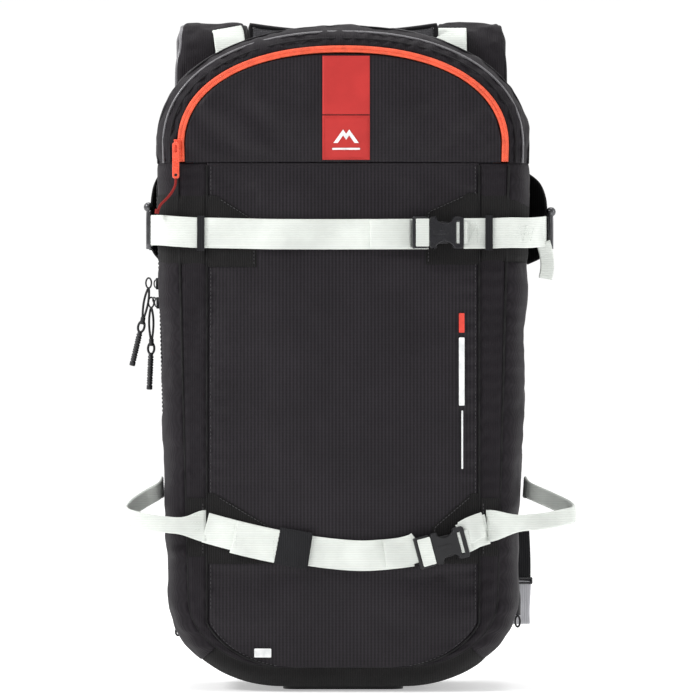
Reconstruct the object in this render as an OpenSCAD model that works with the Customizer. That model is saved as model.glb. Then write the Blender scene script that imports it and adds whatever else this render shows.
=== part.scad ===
/* [Shell] */
// Half of the bag's width at the top of its sides
half_w = 155; // [145:1:165]
// How much narrower each side is at the bottom
taper = 10; // [0:1:14]
// Height of the bag's fabric shell
shell_h = 551; // [535:1:560]
// Depth from the middle of the base to the front face
front_d = 76; // [70:1:80]
// How far the front panel bulges
bulge = 16; // [8:1:20]
// Thickness of the fabric with its lining
wall = 3; // [2.5:0.5:3.5]

/* [Straps] */
// Width of the webbing across the front
strap_w = 25; // [20:1:26]
// Thickness of the webbing
strap_t = 1.6; // [1.2:0.2:2]
// Height of the upper front strap
upper_z = 377; // [370:1:384]
// Width of the padded shoulder straps
shoulder_w = 64; // [56:1:68]
// Thickness of the padded shoulder straps
shoulder_t = 10; // [8:1:11]

/* [Airbag system] */
// Outer diameter of the gas cartridge
cartridge_d = 52; // [44:1:54]
// Length of the cartridge's straight wall
cartridge_l = 190; // [160:5:200]
// Travel of the trigger handle
trigger_travel = 45; // [30:1:50]
// Travel of the firing pin
pin_travel = 6; // [4:0.5:8]

/* [Hidden] */

// Outline: a flat floor, elliptical lower corners, leaning sides and a superelliptical arch
floor_t = 2.5;
floor_x = 50;
corner_z = 75 + floor_t;
arch_z = 450;
arch_h = shell_h - arch_z;
arch_power = 2 / 2.2;
back_y = 62;
flat_y = 42;
rim = 18;
// Inset and depth of the gusset's cross-section, from the back seam to the front seam
gusset_out = [[8, back_y], [2, 55], [0, flat_y], [0, 0], [0, -flat_y],
  [3, 18 - front_d], [9, 6 - front_d], [rim, -front_d]];
gusset_in = [[8 + wall, back_y], [2 + wall, 54], [wall, flat_y], [wall, 0], [wall, -flat_y],
  [3 + wall, 19 - front_d], [9 + wall * 0.7, 6 + wall * 0.8 - front_d], [rim, wall - front_d]];

black = "#302d31";
panel_black = "#2a292e";
patch_grey = "#3a3836";
coral = "#ee5a3e";
label_red = "#cd4141";
webbing_white = "#eef3ee";
mesh_black = "#1d1c1f";
plastic_black = "#26262a";
steel = "#b8bcc2";

function lerp(a, b, t) = a + (b - a) * t;
function unit(v) = v / norm(v);
function clamp01(t) = min(max(t, 0), 1);
// A point of the outline's right half: s is -1..0 on the floor, 0..1 round the lower corner,
// 1..2 up the side and 2..3 over the arch; d is the inset
function edge(s, d) =
  s < 0 ? [floor_x * (s + 1), floor_t + d]
  : s < 1 ? [floor_x + (half_w - taper - floor_x - d) * sin(90 * s),
             corner_z - (corner_z - floor_t - d) * cos(90 * s)]
  : s < 2 ? [lerp(half_w - taper, half_w, s - 1) - d, lerp(corner_z, arch_z, s - 1)]
  : [(half_w - d) * pow(cos(90 * (s - 2)), arch_power),
     arch_z + (arch_h - d) * pow(sin(90 * (s - 2)), arch_power)];
// Half-width of the outline at height z and inset d
function half_at(z, d) =
  z < corner_z ? floor_x + (half_w - taper - floor_x - d)
    * sqrt(max(0, 1 - pow((corner_z - z) / (corner_z - floor_t - d), 2)))
  : z < arch_z ? lerp(half_w - taper, half_w, (z - corner_z) / (arch_z - corner_z)) - d
  : (half_w - d) * pow(max(0, 1 - pow((z - arch_z) / (arch_h - d), 2.2)), 1 / 2.2);
function side_of_height(z) = 1 + (z - corner_z) / (arch_z - corner_z);
// The front face: a flat rim with a bulge that is fullest low down
function swell(z) = let (t = pow(clamp01(z / 445), 0.75)) 4 * t * (1 - t);
function front_y(x, z) = -front_d - bulge * swell(z) * max(0, 1 - pow(x / 138, 2));
function flap_y(x, z) =
  -front_d - 5 * max(0, 1 - pow(x / 132, 2))
    * sin(180 * clamp01((z - hinge_z) / (shell_h - 25 - hinge_z)));

hinge_z = 436;
hinge_s = side_of_height(hinge_z);
zip_in = rim + 6.5;
flap_in = zip_in + 0.5;
seam_x = 112;
function seam_at(z) = min(seam_x, half_at(z, rim) - 10);

// A closed slab between two grids of points
module slab(outer, inner, nu, nv) {
  function at(u, v) = v * (nu + 1) + u;
  n = (nu + 1) * (nv + 1);
  pts = concat([for (v = [0:nv], u = [0:nu]) outer(u / nu, v / nv)],
    [for (v = [0:nv], u = [0:nu]) inner(u / nu, v / nv)]);
  quads = concat(
    [for (v = [0:nv - 1], u = [0:nu - 1]) [at(u, v), at(u + 1, v), at(u + 1, v + 1), at(u, v + 1)]],
    [for (v = [0:nv - 1], u = [0:nu - 1])
      [n + at(u, v + 1), n + at(u + 1, v + 1), n + at(u + 1, v), n + at(u, v)]],
    [for (u = [0:nu - 1]) [at(u + 1, 0), at(u, 0), n + at(u, 0), n + at(u + 1, 0)]],
    [for (u = [0:nu - 1]) [at(u, nv), at(u + 1, nv), n + at(u + 1, nv), n + at(u, nv)]],
    [for (v = [0:nv - 1]) [at(0, v), at(0, v + 1), n + at(0, v + 1), n + at(0, v)]],
    [for (v = [0:nv - 1]) [at(nu, v + 1), at(nu, v), n + at(nu, v), n + at(nu, v + 1)]]);
  polyhedron(pts, [for (q = quads) each [[q[0], q[1], q[2]], [q[0], q[2], q[3]]]]);
}

// Linear interpolation along a list of points
function along(list, t) =
  let (f = t * (len(list) - 1), i = min(floor(f), len(list) - 2)) lerp(list[i], list[i + 1], f - i);
// A point of the gusset: side is -1 or 1, s runs round the outline, t from back to front
function gusset(side, s, section) = let (p = edge(s, section[0])) [side * p[0], section[1], p[1]];
module gusset_panel(side, s0, s1, n) {
  slab(function (u, v) gusset(side, lerp(s0, s1, side > 0 ? v : 1 - v), along(gusset_out, 1 - u)),
    function (u, v) gusset(side, lerp(s0, s1, side > 0 ? v : 1 - v), along(gusset_in, 1 - u)),
    len(gusset_out) - 1, n);
}
// A gusset that crosses the middle: s goes from s1 on the left to s0 in the middle and back
module middle_gusset(s0, s1, n, top) {
  slab(function (u, v) let (w = (2 * v - 1) * (top ? -1 : 1))
      gusset(w < 0 ? -1 : 1, lerp(s0, s1, abs(w)), along(gusset_out, 1 - u)),
    function (u, v) let (w = (2 * v - 1) * (top ? -1 : 1))
      gusset(w < 0 ? -1 : 1, lerp(s0, s1, abs(w)), along(gusset_in, 1 - u)),
    len(gusset_out) - 1, n);
}
// A panel of the front face between two seams, given as half-widths that depend on height
module front_slab(x0, x1, z0, z1, nu, nv, proud, t) {
  slab(function (u, v) let (z = lerp(z0, z1, v), x = lerp(x0(z), x1(z), u)) [x, front_y(x, z) - proud, z],
    function (u, v) let (z = lerp(z0, z1, v), x = lerp(x0(z), x1(z), u))
      [x, front_y(x, z) - proud + t, z],
    nu, nv);
}

corner_cut = 0.5;
module front_panel() color(panel_black)
  front_slab(function (z) -seam_at(z), function (z) seam_at(z), floor_t + rim, hinge_z - 1, 14, 22, 0,
    wall);
module front_strip(side) front_slab(
  function (z) side > 0 ? seam_at(z) : -half_at(z, rim),
  function (z) side > 0 ? half_at(z, rim) : -seam_at(z),
  floor_t + rim, hinge_z - 1, 2, 22, 0, wall);
module front_strip_left() color(black) front_strip(-1);
module front_strip_right() color(black) front_strip(1);
module side_panel_left() color(black) gusset_panel(-1, corner_cut, hinge_s, 14);
module side_panel_right() color(black) gusset_panel(1, corner_cut, hinge_s, 14);
module base_panel() color(black) middle_gusset(-1, corner_cut, 20, false);
module base_patch() color(plastic_black) linear_extrude(floor_t) offset(12)
  square([2 * floor_x - 24, 2 * flat_y - 24], center = true);
module airbag_cover() color(black) middle_gusset(3, hinge_s, 32, true);
module arch_band(in0, in1, y0, y1) {
  function band(v, d) = let (w = 1 - 2 * v, p = edge(lerp(3, hinge_s, abs(w)), d))
    [(w < 0 ? -1 : 1) * p[0], p[1]];
  slab(function (u, v) let (p = band(v, lerp(in1, in0, u))) [p[0], y0, p[1]],
    function (u, v) let (p = band(v, lerp(in1, in0, u))) [p[0], y1, p[1]], 1, 40);
}
module main_zip_tape() color(coral) arch_band(rim + 0.3, zip_in - 3.2, -front_d, 2 - front_d);
module flap_zip_tape() color(coral) arch_band(zip_in - 3, zip_in, -front_d, 2 - front_d);
module back_panel() color(mesh_black) difference() {
  slab(function (u, v) let (z = lerp(floor_t + 11, shell_h - 11.5, v), x = lerp(1, -1, u) * half_at(z, 11))
    [x, back_y, z],
    function (u, v) let (z = lerp(floor_t + 11, shell_h - 11.5, v), x = lerp(1, -1, u) * half_at(z, 11))
      [x, back_y - wall, z], 8, 24);
  translate([-76, back_y - wall / 2, cable_hole_z]) rotate([90, 0, 0])
    cylinder(r = 4, h = 3 * wall, center = true, $fn = 32);
}
// The flap's own outline: columns from the hinge line up to the arch
function flap_point(u, v, dy) =
  let (w = 2 * u - 1, p = edge(lerp(3, 2, abs(w)), flap_in), x = (w < 0 ? -1 : 1) * p[0],
    z = lerp(hinge_z, p[1], v))
  [x, flap_y(x, z) + dy, z];
module flap_panel() color(black)
  slab(function (u, v) flap_point(u, v, 0), function (u, v) flap_point(u, v, wall), 24, 6);
label_x0 = -17;
label_x1 = 22;
label_t = 0.9;
module label_piece(z0, z1) slab(
  function (u, v) let (x = lerp(label_x0, label_x1, u), z = lerp(z0, z1, v))
    [x, flap_y(x, z) - label_t, z],
  function (u, v) let (x = lerp(label_x0, label_x1, u), z = lerp(z0, z1, v))
    [x, flap_y(x, z) - 0.05, z],
  4, 5);
module flap_label() color(label_red) {
  label_piece(hinge_z + 2, 474.5);
  label_piece(475.5, 524);
}

// A flat strap swept along a path: side is half its width as a vector, t its thickness
module ribbon(path, side, t) {
  n = len(path);
  function normal(i) = unit(cross(path[min(i + 1, n - 1)] - path[max(i - 1, 0)], side)) * t / 2;
  pts = [for (i = [0:n - 1]) let (k = normal(i), p = path[i])
    each [p - side - k, p + side - k, p + side + k, p - side + k]];
  faces = concat([[0, 1, 2], [0, 2, 3]],
    [for (i = [0:n - 2], j = [0:3]) let (a = 4 * i + j, b = 4 * i + (j + 1) % 4)
      each [[a, a + 4, b + 4], [a, b + 4, b]]],
    [[4 * n - 1, 4 * n - 2, 4 * n - 3], [4 * n - 1, 4 * n - 3, 4 * n - 4]]);
  polyhedron(pts, faces);
}
// A round cord swept along a path whose tangents are never parallel to ref
module tube(path, r, sides, ref) {
  n = len(path);
  function ring(i) =
    let (k = unit(path[min(i + 1, n - 1)] - path[max(i - 1, 0)]), a = unit(cross(k, ref)),
      b = cross(k, a))
    [for (j = [0:sides - 1]) path[i] + r * (a * cos(360 * j / sides) + b * sin(360 * j / sides))];
  pts = [for (i = [0:n - 1]) each ring(i)];
  last = (n - 1) * sides;
  faces = concat([for (j = [1:sides - 2]) [0, j + 1, j]],
    [for (i = [0:n - 2], j = [0:sides - 1]) let (a = sides * i + j, b = sides * i + (j + 1) % sides)
      each [[a, b, b + sides], [a, b + sides, a + sides]]],
    [for (j = [1:sides - 2]) [last, last + j, last + j + 1]]);
  polyhedron(pts, faces);
}
// A route smoothed by Catmull-Rom interpolation, n steps to each stretch
function spline(p, n) = concat([for (i = [0:len(p) - 2], k = [0:n - 1])
  let (t = k / n, a = p[max(i - 1, 0)], b = p[i], c = p[i + 1], d = p[min(i + 2, len(p) - 1)])
  0.5 * (2 * b + (c - a) * t + (2 * a - 5 * b + 4 * c - d) * t * t
    + (3 * b - a - 3 * c + d) * t * t * t)],
  [p[len(p) - 1]]);
// A plate of even thickness with rounded corners, standing in the XZ plane from y0 to y1
module plate(x0, x1, z0, z1, y0, y1, r)
  translate([(x0 + x1) / 2, y1, (z0 + z1) / 2]) rotate([90, 0, 0]) linear_extrude(y1 - y0) offset(r)
    square([x1 - x0 - 2 * r, z1 - z0 - 2 * r], center = true);

// Back of the pack
sheet_y = 53;
sheet_t = 2;
stay_t = 2.5;
pad_y = 75;
module frame_sheet() color("#e8e8e4") plate(-105, 105, 42, 478, sheet_y, sheet_y + sheet_t, 18);
module frame_stays() color(steel) for (side = [-1, 1])
  translate([side * 60 - 7, sheet_y + sheet_t, 50]) cube([14, stay_t, 420]);
module back_pads() color(mesh_black) for (side = [-1, 1])
  plate(side * 50 - 28, side * 50 + 28, 150, 425, back_y, pad_y, 14);
module lumbar_pad() color(mesh_black) plate(-86, 86, 42, 128, back_y, pad_y + 5, 16);
yoke_x = 72;
yoke_z = 436;
yoke_top = 548;
yoke_rise = 9;
module yoke_pad() color(mesh_black)
  slab(function (u, v) let (x = lerp(yoke_x, -yoke_x, u))
      [x, 74, lerp(yoke_z, yoke_top + yoke_rise * pow(x / yoke_x, 2), v)],
    function (u, v) let (x = lerp(yoke_x, -yoke_x, u))
      [x, back_y, lerp(yoke_z, yoke_top + yoke_rise * pow(x / yoke_x, 2), v)],
    12, 4);

// Airbag system inside the shell
cart_x = 106;
cart_y = 14;
cart_z = 48;
cart_r = cartridge_d / 2;
neck_r = 10;
neck_bore = 6;
cart_wall = 2.5;
dome_z = cart_z + cartridge_l;
head_z = dome_z + 42;
pin_r = 4;
pin_play = 0.1;
module airbag() color("#e0462e") arch_band(12, 30, -50, 40);
module gas_cartridge() color(steel) translate([cart_x, cart_y, 0]) rotate_extrude($fn = 64)
  polygon(concat([[0, cart_z], [cart_r - 5, cart_z]],
    [for (a = [-60:30:0]) [cart_r - 5 + 5 * cos(a), cart_z + 5 + 5 * sin(a)]],
    [for (a = [10:10:60]) [cart_r * cos(a), dome_z + cart_r * sin(a)]],
    [[neck_r, dome_z + 26], [neck_r, head_z], [neck_bore, head_z], [neck_bore, dome_z + 23]],
    [for (a = [60:-10:10]) [(cart_r - cart_wall) * cos(a), dome_z + (cart_r - cart_wall) * sin(a)]],
    [[cart_r - cart_wall, cart_z + 7], [cart_r - 6, cart_z + cart_wall], [0, cart_z + cart_wall]]));
module inflator_head() color(plastic_black) translate([cart_x, cart_y, head_z]) difference() {
  union() {
    cylinder(r = 21, h = 40, $fn = 64);
    translate([0, 0, 40]) cylinder(r = 12, h = 14, $fn = 48);
  }
  translate([0, 0, 24]) cylinder(r = pin_r + pin_play, h = 40, $fn = 48);
}
module firing_pin() color("#d0d2d6") translate([cart_x, cart_y, head_z + 24 + pin_travel + 2]) {
  cylinder(r = pin_r, h = 30, $fn = 48);
  translate([0, 0, 30]) cylinder(r = 6, h = 4, $fn = 48);
}
hose_route = [[84.6, 14, 300], [76, 13, 301], [72, 8, 318], [80, 0, 352], [108, -6, 392],
  [134, -6, 416], [134, -6, 435]];
module inflation_hose() color("#3b3f45") tube(spline(hose_route, 4), 9, 12, [0, 1, 0]);
cable_route = [[106, -8, 300], [96, -22, 318], [60, -30, 340], [0, -10, 380], [-50, 22, 430],
  [-76, 38, 486], [-76, 52, 511], [-76, 68, 514], [-76, 77, 534], [-76, 90, 552], [-76, 103, 543],
  [-76, 109, 518],
  [-75.5, 112, 480], [-75, 113, 400], [-74, 113, 362], [-75.5, 119.5, 352], [-84, 123, 345.5],
  [-94, 124.2, 341], [-103, 124, 337.6]];
cable_r = 2;
cable_hole_z = 512.5;
module trigger_cable() color(plastic_black) tube(spline(cable_route, 3), cable_r, 8, [1, 0.2, 0]);

// Reinforcement patches under the front straps
patch_t = 0.8;
patch_gap = 0.35;
module strap_patches() color(patch_grey) {
  front_slab(function (z) -seam_x, function (z) z < 388 ? -71 : lerp(-71, -seam_x + 6, (z - 388) / 22),
    350, 410, 4, 6, patch_t + patch_gap, patch_t);
  front_slab(function (z) z < 395 ? 68 : lerp(68, seam_x - 6, (z - 395) / 17), function (z) seam_x,
    352, 412, 4, 6, patch_t + patch_gap, patch_t);
  front_slab(function (z) -seam_x, function (z) z < 134 ? -55 : lerp(-55, -seam_x + 6, (z - 134) / 30),
    106, 164, 4, 6, patch_t + patch_gap, patch_t);
  front_slab(function (z) z < 136 ? 73 : lerp(73, seam_x - 6, (z - 136) / 28), function (z) seam_x,
    106, 164, 4, 6, patch_t + patch_gap, patch_t);
}

// Front straps: each lies over the patches at this height above the fabric
over = patch_t + 1.4 + strap_t / 2;
function on_front(x, z, h) = [x, front_y(x, z) - h, z];
strap_side = [0, 0, strap_w / 2];
module upper_strap_left() color(webbing_white) ribbon(concat(
  [[-159, -16, 381], [-158.5, -40, 381], [-156, -62, 380], [-148, -75, 380], [-137, -78.5, 379]],
  [for (x = [-120:12:72]) on_front(x, upper_z, over)]), strap_side, strap_t);
module upper_strap_right() color(webbing_white) ribbon(concat(
  [for (x = [99:6:123]) on_front(x, upper_z, over)],
  [[138, -78.5, 378], [152, -72, 378], [161, -55, 379], [166, -36, 380],
    [169, -16, 381]]), strap_side, strap_t);
module strap_keepers() color(plastic_black) {
  ribbon([for (x = [-120, -116]) on_front(x, upper_z, over + strap_t + 0.1)], [0, 0, 14], strap_t);
  ribbon([for (x = [116, 125]) on_front(x, upper_z + 1, over + strap_t + 0.1)], [0, 0, 14], strap_t);
  ribbon([for (x = [-54:9:-27]) on_front(x, hang_z(x), over + strap_t + 0.1)], [0, 0, 15], strap_t);
}
// The lower strap hangs in a shallow curve
lower_z = 113;
lower_rise = 22;
function hang_z(x) = lower_z + lower_rise * pow(abs(x - 15) / 125, 1.6);
module lower_strap_left() color(webbing_white)
  ribbon([for (x = [-110:10:62]) on_front(x, hang_z(x), over)], strap_side, strap_t);
module lower_strap_right() color(webbing_white)
  ribbon([for (x = [98:5:118]) on_front(x, hang_z(x) + 2, over + 1)], strap_side, strap_t);
module compression_wings() color(patch_grey) {
  ribbon([[-155.8, 34, 384], [-158.4, 10, 384], [-159.8, -12, 384]], [0, 0, 26], 2);
  ribbon([[156, 34, 382], [165, 8, 382], [170, -12, 382]], [0, 0, 28], 2);
}
module hook(x, y, z0, z1, ball) translate([x, y, z0]) {
  cylinder(r = 2.6, h = z1 - z0, $fn = 32);
  translate([0, 0, z1 - z0]) sphere(r = ball, $fn = 32);
}
module side_hooks() color(steel) {
  hook(-162.5, -18, 366, 400, 4.2);
  hook(173.5, -18, 366, 396, 4.2);
}
loop_side = [0, 0, 7];
loop_t = 3;
ski_left = [[-116, -82, 137], [-130, -84, 137], [-152, -84, 139], [-170, -74, 142], [-179, -58, 145],
  [-176, -40, 150], [-166, -28, 157], [-154, -20, 164], [-150.5, -6, 167]];
ski_right = [[122, -82, 137], [140, -86, 139], [163, -84, 141], [182, -74, 144], [191, -58, 146],
  [187, -40, 150], [172, -28, 157], [156, -20, 164], [151, -6, 167]];
module ski_loop_left() color(webbing_white) ribbon(spline(ski_left, 3), loop_side, loop_t);
module ski_loop_right() color(webbing_white) ribbon(spline(ski_right, 3), loop_side, loop_t);

// Side-release buckles: the plug's prongs point along +X into the socket
buckle_h = 26;
buckle_t = 8;
socket_l = 28;
prong_l = 17;
play = 0.4;
module socket_shape() difference() {
  translate([0, -buckle_t / 2, -buckle_h / 2]) cube([socket_l, buckle_t, buckle_h]);
  translate([-1, -2.4, -10]) cube([prong_l + 3, 4.8, 20]);
  for (side = [-1, 1]) translate([13, 0, side * (buckle_h / 2 + 4)]) rotate([90, 0, 0])
    cylinder(r = 8, h = buckle_t + 2, center = true, $fn = 48);
  translate([21, -buckle_t, -9]) cube([3.4, 2 * buckle_t, 18]);
}
module plug_shape() {
  difference() {
    translate([-14, -buckle_t / 2, -buckle_h / 2]) cube([14 - play, buckle_t, buckle_h]);
    for (x = [-11, -5.6]) translate([x, -buckle_t, -10]) cube([3.2, 2 * buckle_t, 20]);
  }
  translate([-1, -1.8, -3]) cube([prong_l, 3.6, 6]);
  for (side = [-1, 1]) translate([-1, -1.8, side * 7 - 2]) cube([prong_l, 3.6, 4]);
}
upper_at = [71, -89.7, upper_z + 1];
upper_yaw = 2.6;
lower_at = [74, -95.2, 118];
lower_yaw = 6;
lower_tilt = -15;
module upper_socket() color(plastic_black) translate(upper_at) rotate([0, 0, upper_yaw]) socket_shape();
module upper_plug() color(plastic_black) translate(upper_at) rotate([0, 0, upper_yaw]) plug_shape();
module lower_socket() color(plastic_black)
  translate(lower_at) rotate([0, lower_tilt, lower_yaw]) socket_shape();
module lower_plug() color(plastic_black)
  translate(lower_at) rotate([0, lower_tilt, lower_yaw]) plug_shape();

// Zip sliders and pulls
slider_x = -137;
slider_z = 449.5;
module main_slider() color("#c6402c")
  translate([slider_x - 2.2, -front_d - 3.6, slider_z - 5.5]) cube([4.6, 3.2, 11]);
module main_pull() color(coral)
  translate([slider_x - 3.5, -front_d - 6.6, slider_z - 27]) cube([6, 2.4, 30.5]);
cord_route = [[-137.5, -81.5, 422.2], [-138, -83, 417], [-141, -84, 411], [-145, -84, 406],
  [-150, -83, 401], [-153, -82, 394]];
module main_pull_cord() color("#8e2b24") tube(spline(cord_route, 4), 1.1, 8, [0, 1, 0]);
side_y = -22;
zip_z0 = 205;
zip_z1 = 420;
module side_zip_tape() color(plastic_black)
  ribbon([[-half_at(zip_z0, 0) - 0.7, side_y, zip_z0], [-half_at(zip_z1, 0) - 0.7, side_y, zip_z1]],
    [0, 8, 0], 1.2);
module side_slider(z) translate([-half_at(z, 0) - 5.4, side_y - 4, z - 5]) cube([3.6, 8, 10]);
module side_slider_upper() color(steel) side_slider(337);
module side_slider_lower() color(steel) side_slider(321);
// A straight rod from a to b
module rod(a, b, r) let (v = b - a) translate(a) rotate([0, acos(v[2] / norm(v)), atan2(v[1], v[0])])
  cylinder(r = r, h = norm(v), $fn = 32);
module side_pull(a, b, c) {
  rod(a, b, 1.4);
  rod(b, c, 2.6);
}
module side_pull_upper() color(plastic_black)
  side_pull([-162, -29, 337], [-167, -29, 306], [-176, -29, 268]);
module side_pull_lower() color(plastic_black)
  side_pull([-160.5, -15, 321], [-160.3, -15, 288], [-162, -15, 248]);

// Harness
strap_left_x = -111;
strap_right_x = 107;
strap_rise = [[67.5, 462], [68, 500], [71, 530], [78, 548], [90, 558.5], [103, 550], [110, 528],
  [112, 490],
  [112, 410], [112, 330], [110, 250], [104, 190]];
module shoulder_strap(x) ribbon([for (p = spline(strap_rise, 3)) [x, p[0], p[1]]],
  [shoulder_w / 2, 0, 0], shoulder_t);
module shoulder_strap_left() color(mesh_black) shoulder_strap(strap_left_x);
module shoulder_strap_right() color(mesh_black) shoulder_strap(strap_right_x);
lifter = [[54, 541], [62, 548], [72, 558], [82, 564.6], [92, 565]];
module load_lifters() color(webbing_white) {
  ribbon([for (p = lifter) [-97, p[0], p[1]]], [13, 0, 0], strap_t);
  ribbon([for (p = lifter) [92, p[0], p[1]]], [13, 0, 0], strap_t);
}
module strap_webbing() color(plastic_black) for (side = [-1, 1])
  ribbon([[side * 108, 104, 188], [side * 108, 92, 166], [side * 104, 72, 146],
    [side * 98, 63.4, 134]], [10, 0, 0], strap_t);
rail_y = 112 + shoulder_t / 2;
sternum_z = 395;
module sternum_strap() color(plastic_black) {
  translate([-95, 0, 0]) translate([-9, rail_y + 0.4, sternum_z - 15]) cube([18, 5, 30]);
  translate([91, 0, 0]) translate([-9, rail_y + 0.4, sternum_z - 15]) cube([18, 5, 30]);
  for (side = [-1, 1]) translate([side > 0 ? 20 : -86, rail_y + 2, sternum_z - 10])
    cube([side > 0 ? 62 : 66, 1.8, 20]);
}
module sternum_buckle() color(plastic_black) translate([-20, rail_y - 1, sternum_z - 12]) difference() {
  cube([40, 8, 24]);
  for (z = [-4, 28]) translate([20, 4, z]) rotate([90, 0, 0])
    cylinder(r = 8, h = 12, center = true, $fn = 48);
}
pocket_z = 250;
pocket_h = 85;
module trigger_pocket() color(black) difference() {
  translate([strap_left_x - 24, rail_y + 0.3, pocket_z]) cube([48, 12.7, pocket_h]);
  translate([strap_left_x - 16, rail_y + 3, pocket_z - 1]) cube([32, 7, pocket_h - 9]);
}
module trigger_handle() color("#d8402c") {
  translate([strap_left_x - 15, rail_y + 3.6, pocket_z - 6]) cube([30, 5.8, 70]);
  translate([strap_left_x, rail_y + 6.5, pocket_z - 26]) rotate([90, 0, 0]) difference() {
    linear_extrude(10, center = true) offset(10) square([44, 22], center = true);
    linear_extrude(12, center = true) offset(6) square([34, 10], center = true);
  }
}
haul_route = [[-30, 78, 535], [-30, 78.5, 505], [-18, 79, 488], [18, 79, 488], [30, 78.5, 505],
  [30, 78, 535]];
module haul_loop() color(plastic_black) ribbon(spline(haul_route, 4), [0, 1, 0], 14);
wing_route = [[92, 74], [112, 76], [130, 86], [140, 104], [141, 128], [134, 152]];
wing_z = 85;
module hip_wing(side) ribbon([for (p = spline(wing_route, 3)) [side * p[0], p[1], wing_z]],
  [0, 0, 34], 10);
module hip_wing_left() color(mesh_black) hip_wing(-1);
module hip_wing_right() color(mesh_black) hip_wing(1);
tail = [[133.6, 152.6], [125, 172], [110, 181], [92, 184], [76, 184]];
module hip_tail(side) ribbon([for (p = tail) [side * p[0], p[1], wing_z]], [0, 0, 19], 2);
module hip_buckle_left() color(plastic_black) {
  hip_tail(-1);
  translate([-76, 180, wing_z - 22]) cube([40, 9, 44]);
}
module hip_buckle_right() color(plastic_black) {
  hip_tail(1);
  translate([46, 180, wing_z - 22]) cube([30, 9, 44]);
}
module hip_gear_strap() color("#cdcdd0") ribbon([[153, 112, 126], [154, 112, 100], [154.5, 112, 72],
  [154, 112, 46]], [7, 0, 0], 2);

front_panel();
front_strip_left();
front_strip_right();
side_panel_left();
side_panel_right();
base_panel();
base_patch();
airbag_cover();
main_zip_tape();
back_panel();
flap_panel();
flap_label();
flap_zip_tape();
frame_sheet();
frame_stays();
back_pads();
lumbar_pad();
yoke_pad();
airbag();
gas_cartridge();
inflator_head();
firing_pin();
inflation_hose();
trigger_cable();
strap_patches();
upper_strap_left();
upper_strap_right();
strap_keepers();
lower_strap_left();
lower_strap_right();
compression_wings();
side_hooks();
ski_loop_left();
ski_loop_right();
upper_socket();
upper_plug();
lower_socket();
lower_plug();
main_slider();
main_pull();
main_pull_cord();
side_zip_tape();
side_slider_upper();
side_pull_upper();
side_slider_lower();
side_pull_lower();
shoulder_strap_left();
shoulder_strap_right();
load_lifters();
strap_webbing();
sternum_strap();
sternum_buckle();
trigger_pocket();
trigger_handle();
haul_loop();
hip_wing_left();
hip_wing_right();
hip_buckle_left();
hip_buckle_right();
hip_gear_strap();
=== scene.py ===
import math

import bpy
import numpy as np
from mathutils import Matrix, Vector, noise


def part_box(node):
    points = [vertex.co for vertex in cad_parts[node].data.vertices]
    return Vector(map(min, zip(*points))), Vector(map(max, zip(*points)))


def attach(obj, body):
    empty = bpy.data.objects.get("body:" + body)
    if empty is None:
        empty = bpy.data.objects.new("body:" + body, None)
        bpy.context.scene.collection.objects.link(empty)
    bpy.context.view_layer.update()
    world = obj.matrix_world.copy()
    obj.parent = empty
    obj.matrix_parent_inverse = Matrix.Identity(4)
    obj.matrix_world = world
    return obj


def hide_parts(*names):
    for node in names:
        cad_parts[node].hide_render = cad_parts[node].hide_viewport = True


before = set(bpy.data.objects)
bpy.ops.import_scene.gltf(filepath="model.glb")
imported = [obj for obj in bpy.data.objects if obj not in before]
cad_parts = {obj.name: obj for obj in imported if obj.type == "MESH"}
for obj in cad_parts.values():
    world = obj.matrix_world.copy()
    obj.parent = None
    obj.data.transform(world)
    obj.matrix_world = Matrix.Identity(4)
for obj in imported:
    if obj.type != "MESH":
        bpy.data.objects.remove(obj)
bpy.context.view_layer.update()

MM = 0.001
COL = bpy.context.scene.collection

# ---------------------------------------------------------------- camera
VIEW_WIDTH = 0.574
CAMERA_DIST = 4.0
FRONT_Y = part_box("front_panel")[0][1]


def make_camera():
    """A long lens, level and square to the pack. The picture's width takes in VIEW_WIDTH at its front."""
    data = bpy.data.cameras.new("camera")
    data.sensor_width = 36.0
    data.lens = data.sensor_width * CAMERA_DIST / VIEW_WIDTH
    data.clip_end = 50.0
    cam = bpy.data.objects.new("camera", data)
    cam.location = (0.0057, FRONT_Y - CAMERA_DIST, 0.2817)
    cam.rotation_euler = (math.pi / 2, 0.0, 0.0)
    COL.objects.link(cam)
    bpy.context.scene.camera = cam


make_camera()

# ---------------------------------------------------------------- numbers shared with the CAD, in mm
HALF_W, TAPER, SHELL_H, FRONT_D, BULGE = 155.0, 10.0, 551.0, 76.0, 16.0
FLOOR_T, FLOOR_X, ARCH_Z, BACK_Y, RIM = 2.5, 50.0, 450.0, 62.0, 18.0
CORNER_Z = 75.0 + FLOOR_T
ARCH_H = SHELL_H - ARCH_Z
ARCH_POWER = 2.2
HINGE_Z = 436.0
SEAM_X = 112.0
# The upper strap's height, and (inset, y) points of the side's section from the back to the front
UPPER_Z = 377.0
GUSSET = [[8, 62], [2, 55], [0, 42], [0, 0], [0, -42], [3, -58], [9, -70], [18, -76]]
SIDES = ((-1, "left"), (1, "right"))


def smooth(x, lo, hi):
    t = np.clip((x - lo) / (hi - lo), 0.0, 1.0)
    return t * t * (3.0 - 2.0 * t)


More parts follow.
